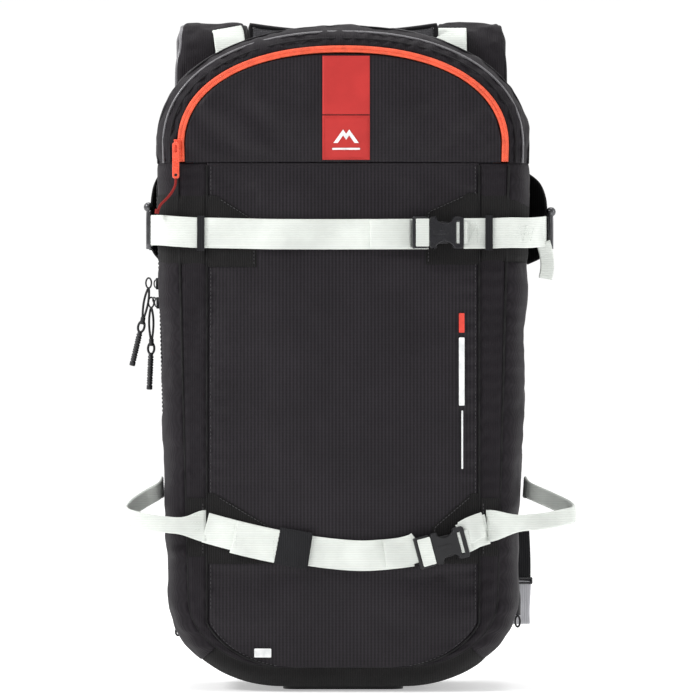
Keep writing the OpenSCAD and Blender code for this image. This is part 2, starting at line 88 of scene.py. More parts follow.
def edge(s, d):
    """A point of the outline's right half: s as in the CAD, d the inset."""
    s, d = np.asarray(s, float), np.asarray(d, float)
    a = np.clip(s, 0, 1) * math.pi / 2
    b = np.clip(s - 2, 0, 1) * math.pi / 2
    stretches = [s < 0, s < 1, s < 2]
    x = np.select(stretches, [
        FLOOR_X * (s + 1),
        FLOOR_X + (HALF_W - TAPER - FLOOR_X - d) * np.sin(a),
        HALF_W - TAPER + TAPER * (s - 1) - d], (HALF_W - d) * np.maximum(np.cos(b), 0) ** (2 / ARCH_POWER))
    z = np.select(stretches, [
        FLOOR_T + d + 0 * s,
        CORNER_Z - (CORNER_Z - FLOOR_T - d) * np.cos(a),
        CORNER_Z + (ARCH_Z - CORNER_Z) * (s - 1)],
        ARCH_Z + (ARCH_H - d) * np.maximum(np.sin(b), 0) ** (2 / ARCH_POWER))
    return x, z


def half_at(z, d):
    """Half the shell's width at a height, less the inset d."""
    z = np.asarray(z, float)
    low = FLOOR_X + (HALF_W - TAPER - FLOOR_X - d) * np.sqrt(
        np.maximum(0, 1 - (np.maximum(CORNER_Z - z, 0) / (CORNER_Z - FLOOR_T - d)) ** 2))
    mid = HALF_W - TAPER + TAPER * (z - CORNER_Z) / (ARCH_Z - CORNER_Z) - d
    top = (HALF_W - d) * np.maximum(
        0, 1 - (np.maximum(z - ARCH_Z, 0) / (ARCH_H - d)) ** ARCH_POWER) ** (1 / ARCH_POWER)
    return np.where(z < CORNER_Z, low, np.where(z < ARCH_Z, mid, top))


def side_of_height(z):
    return 1 + (z - CORNER_Z) / (ARCH_Z - CORNER_Z)


def front_y(x, z):
    t = np.clip(np.asarray(z, float) / 445.0, 0, 1) ** 0.75
    return -FRONT_D - BULGE * 4 * t * (1 - t) * np.maximum(0, 1 - (np.asarray(x) / 138.0) ** 2)


def flap_y(x, z):
    t = np.clip((np.asarray(z, float) - HINGE_Z) / (SHELL_H - 25 - HINGE_Z), 0, 1)
    return -FRONT_D - 5 * np.maximum(0, 1 - (np.asarray(x) / 132.0) ** 2) * np.sin(math.pi * t)


def seam_at(z):
    return np.minimum(SEAM_X, half_at(z, RIM) - 10)


def spline(points, n):
    """Catmull-Rom through points, n steps to each stretch."""
    p = np.array(points, float)
    q = np.vstack([2 * p[0] - p[1], p, 2 * p[-1] - p[-2]])
    t = np.arange(n)[:, None] / n
    out = [0.5 * (2 * b + (c - a) * t + (2 * a - 5 * b + 4 * c - d) * t * t
                  + (3 * b - a - 3 * c + d) * t ** 3)
           for a, b, c, d in zip(q, q[1:], q[2:], q[3:])]
    return np.vstack(out + [p[-1:]])


class Nodes:
    """A node tree of one material, with short calls for what repeats. Its slot argument is not used."""

    def __init__(self, name, slot=None, rough=0.6, sheen=0.0, metallic=0.0, coat=0.0, specular=0.5):
        self.mat = bpy.data.materials.new(name)
        self.mat.use_nodes = True
        self.tree = self.mat.node_tree
        self.shader = self.tree.nodes["Principled BSDF"]
        for socket, value in (("Roughness", rough), ("Sheen Weight", sheen), ("Metallic", metallic),
                              ("Coat Weight", coat), ("Specular IOR Level", specular)):
            self.set(socket, value)
        self.place = self.tree.nodes.new("ShaderNodeTexCoord").outputs["Object"]

    def set(self, socket, value):
        self.shader.inputs[socket].default_value = value

    def feed(self, value, socket):
        if isinstance(value, bpy.types.NodeSocket):
            self.tree.links.new(value, socket)
        else:
            socket.default_value = value

    def node(self, kind, inputs, output, **settings):
        """A node with its inputs set to values or linked to sockets; returns one of its outputs."""
        n = self.tree.nodes.new("ShaderNode" + kind)
        for key, value in settings.items():
            setattr(n, key, value)
        for socket, value in inputs.items():
            self.feed(value, n.inputs[socket])
        return n.outputs[output]

    def bands(self, axis, period_mm):
        scale = 2 * math.pi / (20 * period_mm * MM)
        return self.node("TexWave", {"Scale": scale, "Vector": self.place}, "Fac", wave_type="BANDS",
                         bands_direction=axis)

    def noise(self, size_mm, detail=3.0):
        return self.node("TexNoise", {"Scale": 1 / (size_mm * MM), "Detail": detail, "Vector": self.place},
                         "Fac")

    def dots(self, pitch_mm):
        return self.node("TexVoronoi",
                         {"Scale": 1 / (pitch_mm * MM), "Randomness": 0.25, "Vector": self.place},
                         "Distance", feature="F1")

    def blend(self, a, b, share_a, share_b):
        """a * share_a + b * share_b"""
        parts = [self.node("Math", {0: v, 1: k}, 0, operation="MULTIPLY")
                 for v, k in ((a, share_a), (b, share_b))]
        return self.node("Math", {0: parts[0], 1: parts[1]}, 0, operation="ADD")

    def ramp(self, fac, dark, light, lo=0.3, hi=0.7):
        n = self.tree.nodes.new("ShaderNodeValToRGB")
        for stop, place, colour in zip(n.color_ramp.elements, (lo, hi), (dark, light)):
            stop.position = place
            stop.color = (*colour, 1)
        self.feed(fac, n.inputs["Fac"])
        return n.outputs["Color"]

    def bump(self, height, distance_mm):
        normal = self.node("Bump", {"Distance": distance_mm * MM, "Strength": 1.0, "Height": height},
                           "Normal")
        self.feed(normal, self.shader.inputs["Normal"])

    def colour(self, socket):
        self.feed(socket, self.shader.inputs["Base Color"])


def scaled(colour, k):
    return tuple(min(c * k, 1.0) for c in colour)


def woven(name, slot, colour, across="X", along="Z", rib=2.6, rough=0.62, sheen=0.01, depth=0.22, weave_contrast=0.2,
          specular=0.12):
    """Cloth with ribs across one axis, a finer thread along the other and soft mottling."""
    m = Nodes(name, slot, rough=rough, sheen=sheen, specular=specular)
    m.set("Sheen Roughness", 0.5)
    grain = m.noise(0.7, 2.0)
    weave = m.blend(m.bands(across, rib), m.bands(along, rib * 0.42), 0.6, 0.4)
    # The colour goes darker and lighter with the weave and the grain, the pattern that also raises the bump
    tint = m.ramp(m.blend(weave, grain, 0.6, 0.4), scaled(colour, 1 - weave_contrast), scaled(colour, 1 + weave_contrast))
    cloud = m.ramp(m.noise(38.0, 4.0), (0.82, 0.82, 0.82), (1.0, 1.0, 1.0), 0.35, 0.65)
    m.colour(m.node("Mix", {"Factor": 1.0, "A": tint, "B": cloud}, "Result", data_type="RGBA",
                    blend_type="MULTIPLY"))
    m.bump(m.blend(weave, grain, 1.0, 0.5), depth)
    return m.mat


def moulded(name, slot, colour, rough=0.35, grain_mm=0.5, depth=0.04, coat=0.0, metallic=0.0):
    m = Nodes(name, slot, rough=rough, coat=coat, metallic=metallic, specular=0.4)
    m.colour(m.ramp(m.noise(6.0, 5.0), scaled(colour, 0.85), scaled(colour, 1.2)))
    patchy = m.ramp(m.noise(11.0, 4.0), (rough * 0.8,) * 3, (min(rough * 1.3, 1),) * 3)
    m.feed(patchy, m.shader.inputs["Roughness"])
    m.bump(m.noise(grain_mm, 2.0), depth)
    return m.mat


def air_mesh(name, colour, pitch=3.2, rough=0.75):
    m = Nodes(name, "mesh_foam", rough=rough, sheen=0.2)
    hole = m.dots(pitch)
    m.colour(m.ramp(hole, scaled(colour, 0.25), scaled(colour, 1.6), 0.15, 0.55))
    m.bump(m.blend(hole, m.noise(0.6), 1.0, 0.2), 1.1)
    return m.mat


# A slot names a colour that a user of the part can change
BLACK = (0.0150, 0.0125, 0.0155)
M_SIDE = woven("side_cloth", "shell_fabric", BLACK, "Y", rib=2.4)
M_FRONT = woven("front_cloth", "front_fabric", (0.0178, 0.0152, 0.0186), rib=2.9, rough=0.52, depth=0.17,
                weave_contrast=0.42, specular=0.16)
M_SHELL = woven("shell_cloth", "shell_fabric", BLACK, rib=1.9, rough=0.56)
M_PATCH = woven("patch_cloth", "patch_fabric", (0.0165, 0.0158, 0.0160), rib=1.5, rough=0.8, depth=0.4,
                weave_contrast=0.45)
M_WHITE = woven("white_webbing", "webbing_white", (0.79, 0.825, 0.78), "Z", "X", rib=1.9, rough=0.6,
                sheen=0.05, depth=0.18, weave_contrast=0.05)
M_GREY = woven("grey_webbing", "webbing_grey", (0.58, 0.58, 0.61), rib=1.9, depth=0.18, weave_contrast=0.07)
M_TAPE = woven("black_webbing", "webbing_black", (0.02, 0.02, 0.022), rib=1.8, rough=0.7, depth=0.3)
M_BINDING = woven("binding", "shell_fabric", (0.017, 0.016, 0.018), "Y", rib=1.2, rough=0.5)
M_MESH = air_mesh("air_mesh", (0.035, 0.034, 0.038))
M_MESH_FINE = air_mesh("fine_mesh", (0.03, 0.029, 0.033), pitch=1.9)
M_LINING = woven("lining", "airbag_fabric", (0.16, 0.16, 0.165), rib=1.6, weave_contrast=0.08)
M_RED = woven("label_red", "label_red", (0.56, 0.045, 0.042), rib=0.9, rough=0.5, depth=0.06, weave_contrast=0.06)
M_CORD = woven("red_cord", "cord_red", (0.25, 0.02, 0.018), rib=1.0, weave_contrast=0.25)
M_BAG = woven("airbag_cloth", "airbag_fabric", (0.72, 0.09, 0.04), rib=1.2, weave_contrast=0.1)
M_CORAL = moulded("coral_zip", "zip_coral", (0.80, 0.105, 0.045), rough=0.5)
M_CORAL_SHINE = moulded("coral_pull", "zip_coral", (0.83, 0.10, 0.05))
# M_SEAM: near-black cords laid in the seam grooves, painted shadow
M_SEAM = moulded("seam_shadow", "shell_fabric", (0.0035, 0.0032, 0.0036), rough=0.9)
M_PRINT = moulded("white_print", "front_fabric", (0.85, 0.87, 0.87), rough=0.5)
M_PRINT_RED = moulded("red_print", "front_fabric", (0.70, 0.06, 0.04), rough=0.5)
M_BUCKLE = moulded("buckle_plastic", "buckle_plastic", (0.013, 0.013, 0.0155), rough=0.24, coat=0.3)
M_MATT = moulded("matt_plastic", "buckle_plastic", (0.012, 0.012, 0.0135), rough=0.42)
M_HOOK = moulded("dark_hook", "steel", (0.10, 0.10, 0.105), rough=0.32, metallic=1.0)
M_ZIP = moulded("black_zip", "zip_black", (0.018, 0.018, 0.02), rough=0.4)
M_THREAD = moulded("black_thread", "front_fabric", (0.05, 0.048, 0.052), rough=0.6)
M_THREAD_WHITE = moulded("white_thread", "webbing_white", (0.72, 0.76, 0.72), rough=0.6)
# M_GLINT: piping cord coloured grey as a painted highlight, a glint along the seams and strap edges
M_GLINT = moulded("piping_painted_glint", "shell_fabric", (0.16, 0.155, 0.165), rough=0.3, coat=0.2)
M_STEEL = moulded("steel", "steel", (0.62, 0.64, 0.67), rough=0.25, metallic=1.0)
M_GRIP = moulded("grip_red", "grip_red", (0.62, 0.05, 0.03), rough=0.4, grain_mm=1.2, depth=0.1)
M_BOARD = moulded("board", "board", (0.72, 0.72, 0.7), rough=0.5)
M_HOSE = moulded("hose", "hose_black", (0.035, 0.036, 0.04), rough=0.45)

# ---------------------------------------------------------------- mesh helpers


def stack(x, y, z):
    """An array of points from its x, y and z, of which some may be single numbers."""
    return np.stack(np.broadcast_arrays(x, y, z), axis=-1).astype(float)


def run_of(path):
    """Distance along a path to each of its points."""
    return np.concatenate([[0], np.cumsum(np.linalg.norm(np.diff(path, axis=0), axis=1))])


def at_run(path, run, where):
    """The point that lies a distance along a path."""
    return np.stack([np.interp(where, run, path[:, k]) for k in range(3)], axis=-1)


def new_object(name, verts, faces, mat, body="pack", slot=None, stands_for=None):
    mesh = bpy.data.meshes.new(name)
    mesh.from_pydata([tuple(v) for v in np.asarray(verts) * MM], [], faces)
    mesh.validate()
    mesh.shade_smooth()
    mesh.materials.append(mat)
    obj = bpy.data.objects.new(name, mesh)
    COL.objects.link(obj)
    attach(obj, body)
    if stands_for:
        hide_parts(stands_for)
    return obj


def sharpen(obj, degrees=35):
    """Split the shading at sharp edges."""
    obj.modifiers.new("edge_split", "EDGE_SPLIT").split_angle = math.radians(degrees)
    return obj


def fbm(P, size_mm, seed=0.0):
    """Smooth noise from -1 to 1 at each point of a grid."""
    shift = Vector((seed, seed * 1.7, -seed))
    out = [noise.fractal(Vector(p) / size_mm + shift, 1.0, 2.0, 3) for p in P.reshape(-1, 3)]
    return np.array(out).reshape(P.shape[:-1])


def grid_normals(P):
    n = np.cross(np.gradient(P, axis=1), np.gradient(P, axis=0))
    return n / np.maximum(np.linalg.norm(n, axis=-1, keepdims=True), 1e-9)


def shell_faces(nv, nu):
    """Faces of a closed slab between two grids of (nv x nu) points."""
    n = nv * nu
    grid = np.arange(n).reshape(nv, nu)
    out = []
    for v in range(nv - 1):
        for u in range(nu - 1):
            q = (grid[v, u], grid[v, u + 1], grid[v + 1, u + 1], grid[v + 1, u])
            out += [q, tuple(n + i for i in reversed(q))]
    for line in (grid[0][::-1], grid[-1], grid[:, 0], grid[::-1, -1]):
        out += [(a, b, n + b, n + a) for a, b in zip(line, line[1:])]
    return [tuple(map(int, q)) for q in out]


def cloth_panel(name, f, nu, nv, thick, mat, folds=None, outward=(0, -1, 0), seam_dip=0.8, **kind):
    """A sewn panel: f(U, V) gives points in mm, folds(P) lifts it along its normal, and its
    border dips into the seam, by seam_dip mm or by a function of V."""
    U, V = np.meshgrid(np.linspace(0, 1, nu), np.linspace(0, 1, nv))
    P = f(U, V)
    N = grid_normals(P)
    if np.dot(N[nv // 2, nu // 2], outward) < 0:
        N = -N
    lift = folds(P) if folds else np.zeros(U.shape)
    du = np.linalg.norm(np.diff(P, axis=1), axis=-1).sum(axis=1)[:, None]
    dv = np.linalg.norm(np.diff(P, axis=0), axis=-1).sum(axis=0)[None, :]
    border = np.minimum(np.minimum(U, 1 - U) * du, np.minimum(V, 1 - V) * dv)
    dip = seam_dip(V) if callable(seam_dip) else seam_dip
    lift = lift * smooth(border, 0.0, 6.0) - dip * (1 - smooth(border, 0.0, 3.5))
    verts = np.vstack([(P + N * lift[..., None]).reshape(-1, 3), (P - N * thick).reshape(-1, 3)])
    faces = shell_faces(nv, nu)
    if np.dot(np.cross(P[0, 1] - P[0, 0], P[1, 0] - P[0, 0]), N[0, 0]) < 0:
        faces = [q[::-1] for q in faces]
    return new_object(name, verts, faces, mat, **kind)


def frames(path, side):
    """Side and normal at each point of a path; side may vary along it."""
    t = np.gradient(path, axis=0)
    t /= np.linalg.norm(t, axis=1, keepdims=True)
    s = np.broadcast_to(np.array(side, float), path.shape).copy()
    s -= t * (s * t).sum(axis=1, keepdims=True)
    s /= np.linalg.norm(s, axis=1, keepdims=True)
    return s, np.cross(t, s)


def sweep(name, path, side, section, mat, closed=False, **kind):
    """Sweep a section of (across, out) points along a path. A section that changes is a function
    of the station, from 0 to 1."""
    path = np.asarray(path, float)
    s, k = frames(path, side)
    n = len(path)
    rings = []
    for i in range(n):
        ring = np.array(section(i / (n - 1)) if callable(section) else section, float)
        rings.append(path[i] + ring[:, :1] * s[i] + ring[:, 1:2] * k[i])
    m = len(rings[0])
    faces = []
    for i in range(n if closed else n - 1):
        a, b = i * m, ((i + 1) % n) * m
        faces += [(a + j, a + (j + 1) % m, b + (j + 1) % m, b + j) for j in range(m)]
    if not closed:
        faces += [tuple(reversed(range(m))), tuple(range((n - 1) * m, n * m))]
    return new_object(name, np.vstack(rings), faces, mat, **kind)


def tape_section(width, t, ridge=0.12):
    """Webbing: rounded selvedges and a slightly ribbed face."""
    h = width / 2
    xs = np.linspace(-h + t * 0.6, h - t * 0.6, 15)
    rib = ridge * np.cos(np.linspace(0, 14 * math.pi, 15))
    top = [(x, t / 2 + r * 0.5) for x, r in zip(xs, rib)]
    low = [(x, -t / 2 - r * 0.5) for x, r in zip(xs[::-1], rib)]
    return [(-h, -t * 0.2), (-h, t * 0.2), *top, (h, t * 0.2), (h, -t * 0.2), *low]


def round_section(a, b, sides=8):
    """An oval, a wide and b deep either side of its middle."""
    turn = np.linspace(0, 2 * math.pi, sides, endpoint=False)
    return np.stack([a * np.cos(turn), b * np.sin(turn)], axis=1)


def webbing(name, path, side, width, t, steps=5, mat=M_TAPE, **kind):
    return sweep(name, spline(path, steps), side, tape_section(width, t), mat, **kind)


def cordage(name, path, r, mat, side=(0, 1, 0), sides=8, **kind):
    return sweep(name, path, side, round_section(r, r, sides), mat, **kind)


def stitches(name, path, out, mat=M_THREAD, pitch=3.4, length=2.3, r=0.32, **kind):
    """A row of thread stitches lying along a path; out is the direction off the cloth."""
    path = np.asarray(path, float)
    run = run_of(path)
    out = np.broadcast_to(np.array(out, float), path.shape)
    verts, faces = [], []
    for i in range(max(int(run[-1] / pitch), 1)):
        start = i * pitch + 0.4
        a, b = at_run(path, run, start), at_run(path, run, start + length)
        o = at_run(out, run, start)
        o /= np.linalg.norm(o)
        w = np.cross((b - a) / max(np.linalg.norm(b - a), 1e-6), o)
        base = len(verts)
        verts.append(a - o * r * 0.4)
        for c in (a + (b - a) * 0.2, a + (b - a) * 0.8):
            verts += [c + w * r, c + o * r, c - w * r, c - o * r]
        verts.append(b - o * r * 0.4)
        for j in range(4):
            k = (j + 1) % 4
            faces += [(base, base + 1 + k, base + 1 + j),
                      (base + 1 + j, base + 1 + k, base + 5 + k, base + 5 + j),
                      (base + 9, base + 5 + j, base + 5 + k)]
    return new_object(name, verts, faces, mat, **kind)


def stitched_outline(name, corners, place, out, steps=2, **kind):
    """Rows of stitches along straight lines between corners in (x, z), put on the cloth by place(x, z)."""
    for k, (a, b) in enumerate(zip(corners, corners[1:])):
        x, z = np.linspace(a, b, steps).T
        stitches(f"{name}_{k}", place(x, z), out, **kind)


def shift(x, y, z):
    return lambda p: p + (x, y, z)


def flat_shape(name, loops, depth, round_mm, mat, place=None, **kind):
    """A moulded plate from outlines in (x, z), the first outside and the rest holes, standing in
    the XZ plane, with rounded edges. place maps its points, in mm, to the frame."""
    curve = bpy.data.curves.new(name, "CURVE")
    curve.dimensions = "2D"
    curve.fill_mode = "BOTH"
    curve.extrude = max(depth / 2 - round_mm, 0.01)
    curve.bevel_depth = round_mm
    curve.bevel_resolution = 2
    curve.offset = -round_mm
    for loop in loops:
        s = curve.splines.new("POLY")
        s.points.add(len(loop) - 1)
        s.use_cyclic_u = True
        for p, (x, z) in zip(s.points, loop):
            p.co = (x, z, 0, 1)
    temp = bpy.data.objects.new(name + "_curve", curve)
    COL.objects.link(temp)
    bpy.context.view_layer.update()
    mesh = temp.evaluated_get(bpy.context.evaluated_depsgraph_get()).to_mesh()
    points = np.array([v.co[:] for v in mesh.vertices])[:, [0, 2, 1]]
    faces = [tuple(p.vertices)[::-1] for p in mesh.polygons]
    bpy.data.objects.remove(temp)
    bpy.data.curves.remove(curve)
    if place:
        points = place(points)
    return sharpen(new_object(name, points, faces, mat, **kind), 50)


def arc(cx, cz, r, a0, a1, n=8):
    turn = np.radians(np.linspace(a0, a1, n))
    return [(cx + r * math.cos(a), cz + r * math.sin(a)) for a in turn]


def rounded_rect(x0, x1, z0, z1, r, n=5):
    corners = ((x1 - r, z0 + r, -90), (x1 - r, z1 - r, 0), (x0 + r, z1 - r, 90), (x0 + r, z0 + r, 180))
    return [p for x, z, start in corners for p in arc(x, z, r, start, start + 90, n)]


# ---------------------------------------------------------------- the pull cord
PULL_ROUTE = [(-137.5, -81.5, 422.5), (-138, -83, 417), (-141, -84, 411), (-145, -84, 406), (-150, -83, 401),
              (-153, -82, 394)]
PULL_KNOT = [(-152.6, -82, 397.5), (-153.2, -82, 393.8)]


def pull_cord():
    path = spline(PULL_ROUTE, 6)
    piece = cordage("main_pull_cord_braid", path, 1.1, M_CORD, sides=10, body="main_pull",
                    stands_for="main_pull_cord")
    knot = cordage("main_pull_cord_knot", spline(PULL_KNOT, 8), 1.9, M_CORD, sides=10, body="main_pull")


pull_cord()

# ---------------------------------------------------------------- the sewn shell
HINGE_S = float(side_of_height(HINGE_Z))
PROFILE = spline(GUSSET[::-1], 10)
SIDE_ZIP_Y, TOOTH_PITCH = -22.0, 1.5


def gusset(side, S, T):
    """side -1 or 1, S round the outline, T from the front seam (0) to the back seam (1)."""
    f = np.clip(T, 0, 1) * (len(PROFILE) - 1)
    inset, y = (np.interp(f, np.arange(len(PROFILE)), PROFILE[:, k]) for k in (0, 1))
    x, z = edge(S, inset)
    return stack(side * x, y, z)


def hang_z(x):
    """Height of the lower strap, which hangs in a curve."""
    return 113 + 22 * (np.abs(np.asarray(x, float) - 15) / 125) ** 1.6


def under_straps(P):
    """0 where a strap or a patch lies on the front, 1 elsewhere."""
    x, z = np.abs(P[..., 0]), P[..., 2]
    upper = smooth(np.abs(z - UPPER_Z), 13, 22)
    lower = smooth(np.abs(z - hang_z(P[..., 0])), 14, 24)
    patch_up = 1 - smooth(x, 64, 74) * (1 - smooth(np.abs(z - 381), 30, 36))
    patch_low = 1 - smooth(x, 50, 60) * (1 - smooth(np.abs(z - 135), 30, 36))
    return upper * lower * np.clip(patch_up, 0.15, 1) * np.clip(patch_low, 0.15, 1)


def pucker(along, dist, pitch, reach, amount):
    """Small gathers that fade out away from a seam."""
    wave = np.cos(2 * math.pi * along / pitch + 1.7 * np.sin(along / 23.0))
    return amount * wave * np.exp(-np.maximum(dist, 0) / reach)


def front_folds(P):
    x, z = P[..., 0], P[..., 2]
    soft = 1.9 * fbm(P * (1.0, 1.0, 0.55), 46.0, 3.1)
    # Folds that run down and in from the ends of the zip
    arm = np.abs(x) * 0.75 + z * 0.66
    diagonal = 1.6 * np.sin(arm / 6.2 + 0.6 * np.sin(z / 19)) * smooth(z, 392, 412) \
        * (1 - smooth(z, 428, 435)) * smooth(np.abs(x), 25, 75)
    sag = 1.7 * np.sin((z + 0.25 * np.abs(x)) / 11.0) * (1 - smooth(np.abs(z - 76), 14, 34)) \
        * smooth(np.abs(x), 5, 60)
    lift = soft + diagonal + sag + pucker(z, seam_at(z) - np.abs(x), 13.0, 9.0, 1.2)
    return np.clip(lift, -2.2, 1.7) * under_straps(P) * (1 - smooth(z, 416, 431))


def strip_folds(side):
    def folds(P):
        x, z = np.abs(P[..., 0]), P[..., 2]
        near = np.minimum(x - seam_at(z), half_at(z, RIM) - x)
        lift = pucker(z, near, 12.0, 9.0, 1.3) + 1.2 * fbm(P, 26.0, 5.0 + side)
        return np.clip(lift, -1.8, 1.4) * under_straps(P)
    return folds


def side_folds(side):
    def folds(P):
        y, z = P[..., 1], P[..., 2]
        wide = 2.8 * fbm(P * (1.0, 0.6, 1.0), 52.0, 9.0 * side)
        cross = np.sin((z + 0.5 * y) / 9.0 + 2 * fbm(P, 60.0, 2.0)) * smooth(fbm(P, 80.0, 7.7), -0.1, 0.3)
        gather = pucker(z, y + 76, 14.0, 16.0, 1.2) + pucker(z + 5, 62 - y, 17.0, 16.0, 1.2)
        # Still under the upper strap and, on the left, beside the zip
        quiet = np.clip(smooth(np.abs(z - 380), 14, 24), 0.15, 1)
        if side < 0:
            quiet = quiet * np.clip(smooth(np.abs(y - SIDE_ZIP_Y), 10, 22), 0.1, 1)
        return np.clip(wide + cross + gather, -3.5, 1.8) * quiet
    return folds


def cover_folds(P):
    y = P[..., 1]
    run = np.arctan2(P[..., 2] - 440, P[..., 0]) * 120
    gather = pucker(run, y + 76, 13.0, 14.0, 0.8) + pucker(run, 62 - y, 16.0, 14.0, 1.0)
    return np.clip(1.8 * fbm(P, 30.0, 4.4) + gather, -2.5, 1.6)


def base_folds(P):
    return np.minimum(0.0, 1.2 * fbm(P, 40.0, 6.0) - 0.4) * smooth(P[..., 2], 4, 16)


def both_ways(side_s, U, V):
    """The gusset from the middle of the top or of the base out to both sides; side_s(|w|) gives S."""
    w = 2 * V - 1
    return np.where((w < 0)[..., None], gusset(-1, side_s(np.abs(w)), U), gusset(1, side_s(np.abs(w)), U))


def build_shell():
    z_low, z_high = FLOOR_T + RIM, HINGE_Z - 0.5

    def between(x_from, x_to):
        def f(U, V):
            z = z_low + (z_high - z_low) * V
            x = x_from(z) + (x_to(z) - x_from(z)) * U
            return stack(x, front_y(x, z), z)
        return f
    cloth_panel("front_panel_cloth", between(lambda z: -seam_at(z), seam_at), 130, 230, 2.2, M_FRONT,
                front_folds, seam_dip=lambda V: 0.8 * (1 - smooth(V, 0.97, 0.99)), stands_for="front_panel")
    for side, word in SIDES:
        strip = between(lambda z: side * seam_at(z), lambda z: side * half_at(z, RIM))
        cloth_panel(f"front_strip_{word}_cloth", strip, 18, 220, 2.2, M_SHELL, strip_folds(side),
                    stands_for=f"front_strip_{word}")
        cloth_panel(f"side_panel_{word}_cloth", lambda U, V: gusset(side, 0.5 + (HINGE_S - 0.5) * V, U), 80,
                    170, 2.2, M_SIDE, side_folds(side), (side, 0, 0), stands_for=f"side_panel_{word}")
    cloth_panel("airbag_cover_cloth", lambda U, V: both_ways(lambda w: 3 + (HINGE_S - 3) * w, U, V), 72, 280,
                2.2, M_SHELL, cover_folds, (0, 0, 1), stands_for="airbag_cover")
    cloth_panel("base_panel_cloth", lambda U, V: both_ways(lambda w: -1 + 1.5 * w, U, V), 60, 110, 2.2,
                M_PATCH, base_folds, (0, 0, -1), seam_dip=0.5, slot="shell_fabric", stands_for="base_panel")

    def back(U, V):
        z = 13.5 + (539.5 - 13.5) * V
        return stack((2 * U - 1) * half_at(z, 9), BACK_Y, z)
    cloth_panel("back_panel_mesh", back, 70, 130, 2.4, M_MESH_FINE, lambda P: 0.4 * fbm(P, 40.0, 8.0) - 0.6,
                (0, 1, 0), stands_for="back_panel")


def outline_path(s_from, s_to, inset, y, n=240):
    """Points along the outline over the top or under the base, from the left to the right."""
    w = np.linspace(-1, 1, n)
    x, z = edge(s_from + (s_to - s_from) * np.abs(w), inset)
    p = stack(np.sign(w + 1e-12) * x, y, z)
    run = run_of(p)
    return at_run(p, run, np.linspace(0, run[-1], n))


def build_seams():
    """Piping and topstitching along the shell's seams, and near-black cords of painted shadow in them."""
    # The middle row is piping coloured grey as a painted highlight; the other two rows are black binding
    rows = ((12.5, -73.6, 0.75, M_BINDING), (6.6, -67.4, 0.9, M_GLINT), (1.6, -53.0, 1.0, M_BINDING))
    for k, (inset, y, r, mat) in enumerate(rows):
        cordage(f"cover_piping_{k + 1}", outline_path(3, HINGE_S, inset, y), r, mat)
    cordage("cover_back_binding", outline_path(3, HINGE_S, 6.0, 61.2), 1.7, M_BINDING)
    # The near-black cords in the seams below are painted shadow in the seams' grooves
    cordage("base_front_seam_shadow", outline_path(-1, 0.5, 18.4, -76.2, 120), 0.8, M_SEAM)
    z = np.linspace(22, HINGE_Z - 2, 220)
    zb = np.linspace(40, HINGE_Z, 120)
    across = (1, 0, 0)
    for side, word in SIDES:
        x = side * seam_at(z)
        seam = stack(x, front_y(x, z) - 0.35, z)
        # Painted shadow: a near-black cord in the front seam's groove
        cordage(f"front_seam_{word}", seam, 0.75, M_SEAM, across, slot="front_fabric")
        row = seam - (side * 3.2, 0.35, 0)
        stitches(f"front_seam_stitch_{word}", row[z < UPPER_Z - 14], (0, -1, 0))
        stitches(f"front_seam_stitch_top_{word}", row[z > UPPER_Z + 14], (0, -1, 0))
        cordage(f"outer_seam_shadow_{word}", stack(side * half_at(z, RIM), -76.4, z), 0.9, M_SEAM, across)
        cordage(f"back_binding_{word}", stack(side * half_at(zb, 5.5), 60.8, zb), 1.7, M_BINDING, across)


def coil_section(a, b, ridged, length):
    """Section of a zip's coil: a flat tube whose a or b swells at every tooth."""
    def section(s):
        k = 1 + 0.16 * math.cos(2 * math.pi * s * length / TOOTH_PITCH)
        return round_section(a * (k if ridged == "a" else 1), b * (k if ridged == "b" else 1))
    return section


def zip_half(name, inset, body, stands_for):
    path = outline_path(3, HINGE_S + 0.002, inset, -FRONT_D - 0.2, 1500)
    sweep(name, path, (0, 1, 0), coil_section(0.95, 1.55, "a", run_of(path)[-1]), M_CORAL, body=body,
          stands_for=stands_for)


def on_flap(h):
    """Maps flat points on to the flap, h mm off its cloth."""
    return lambda p: stack(p[:, 0], flap_y(p[:, 0], p[:, 2]) - h + p[:, 1], p[:, 2])


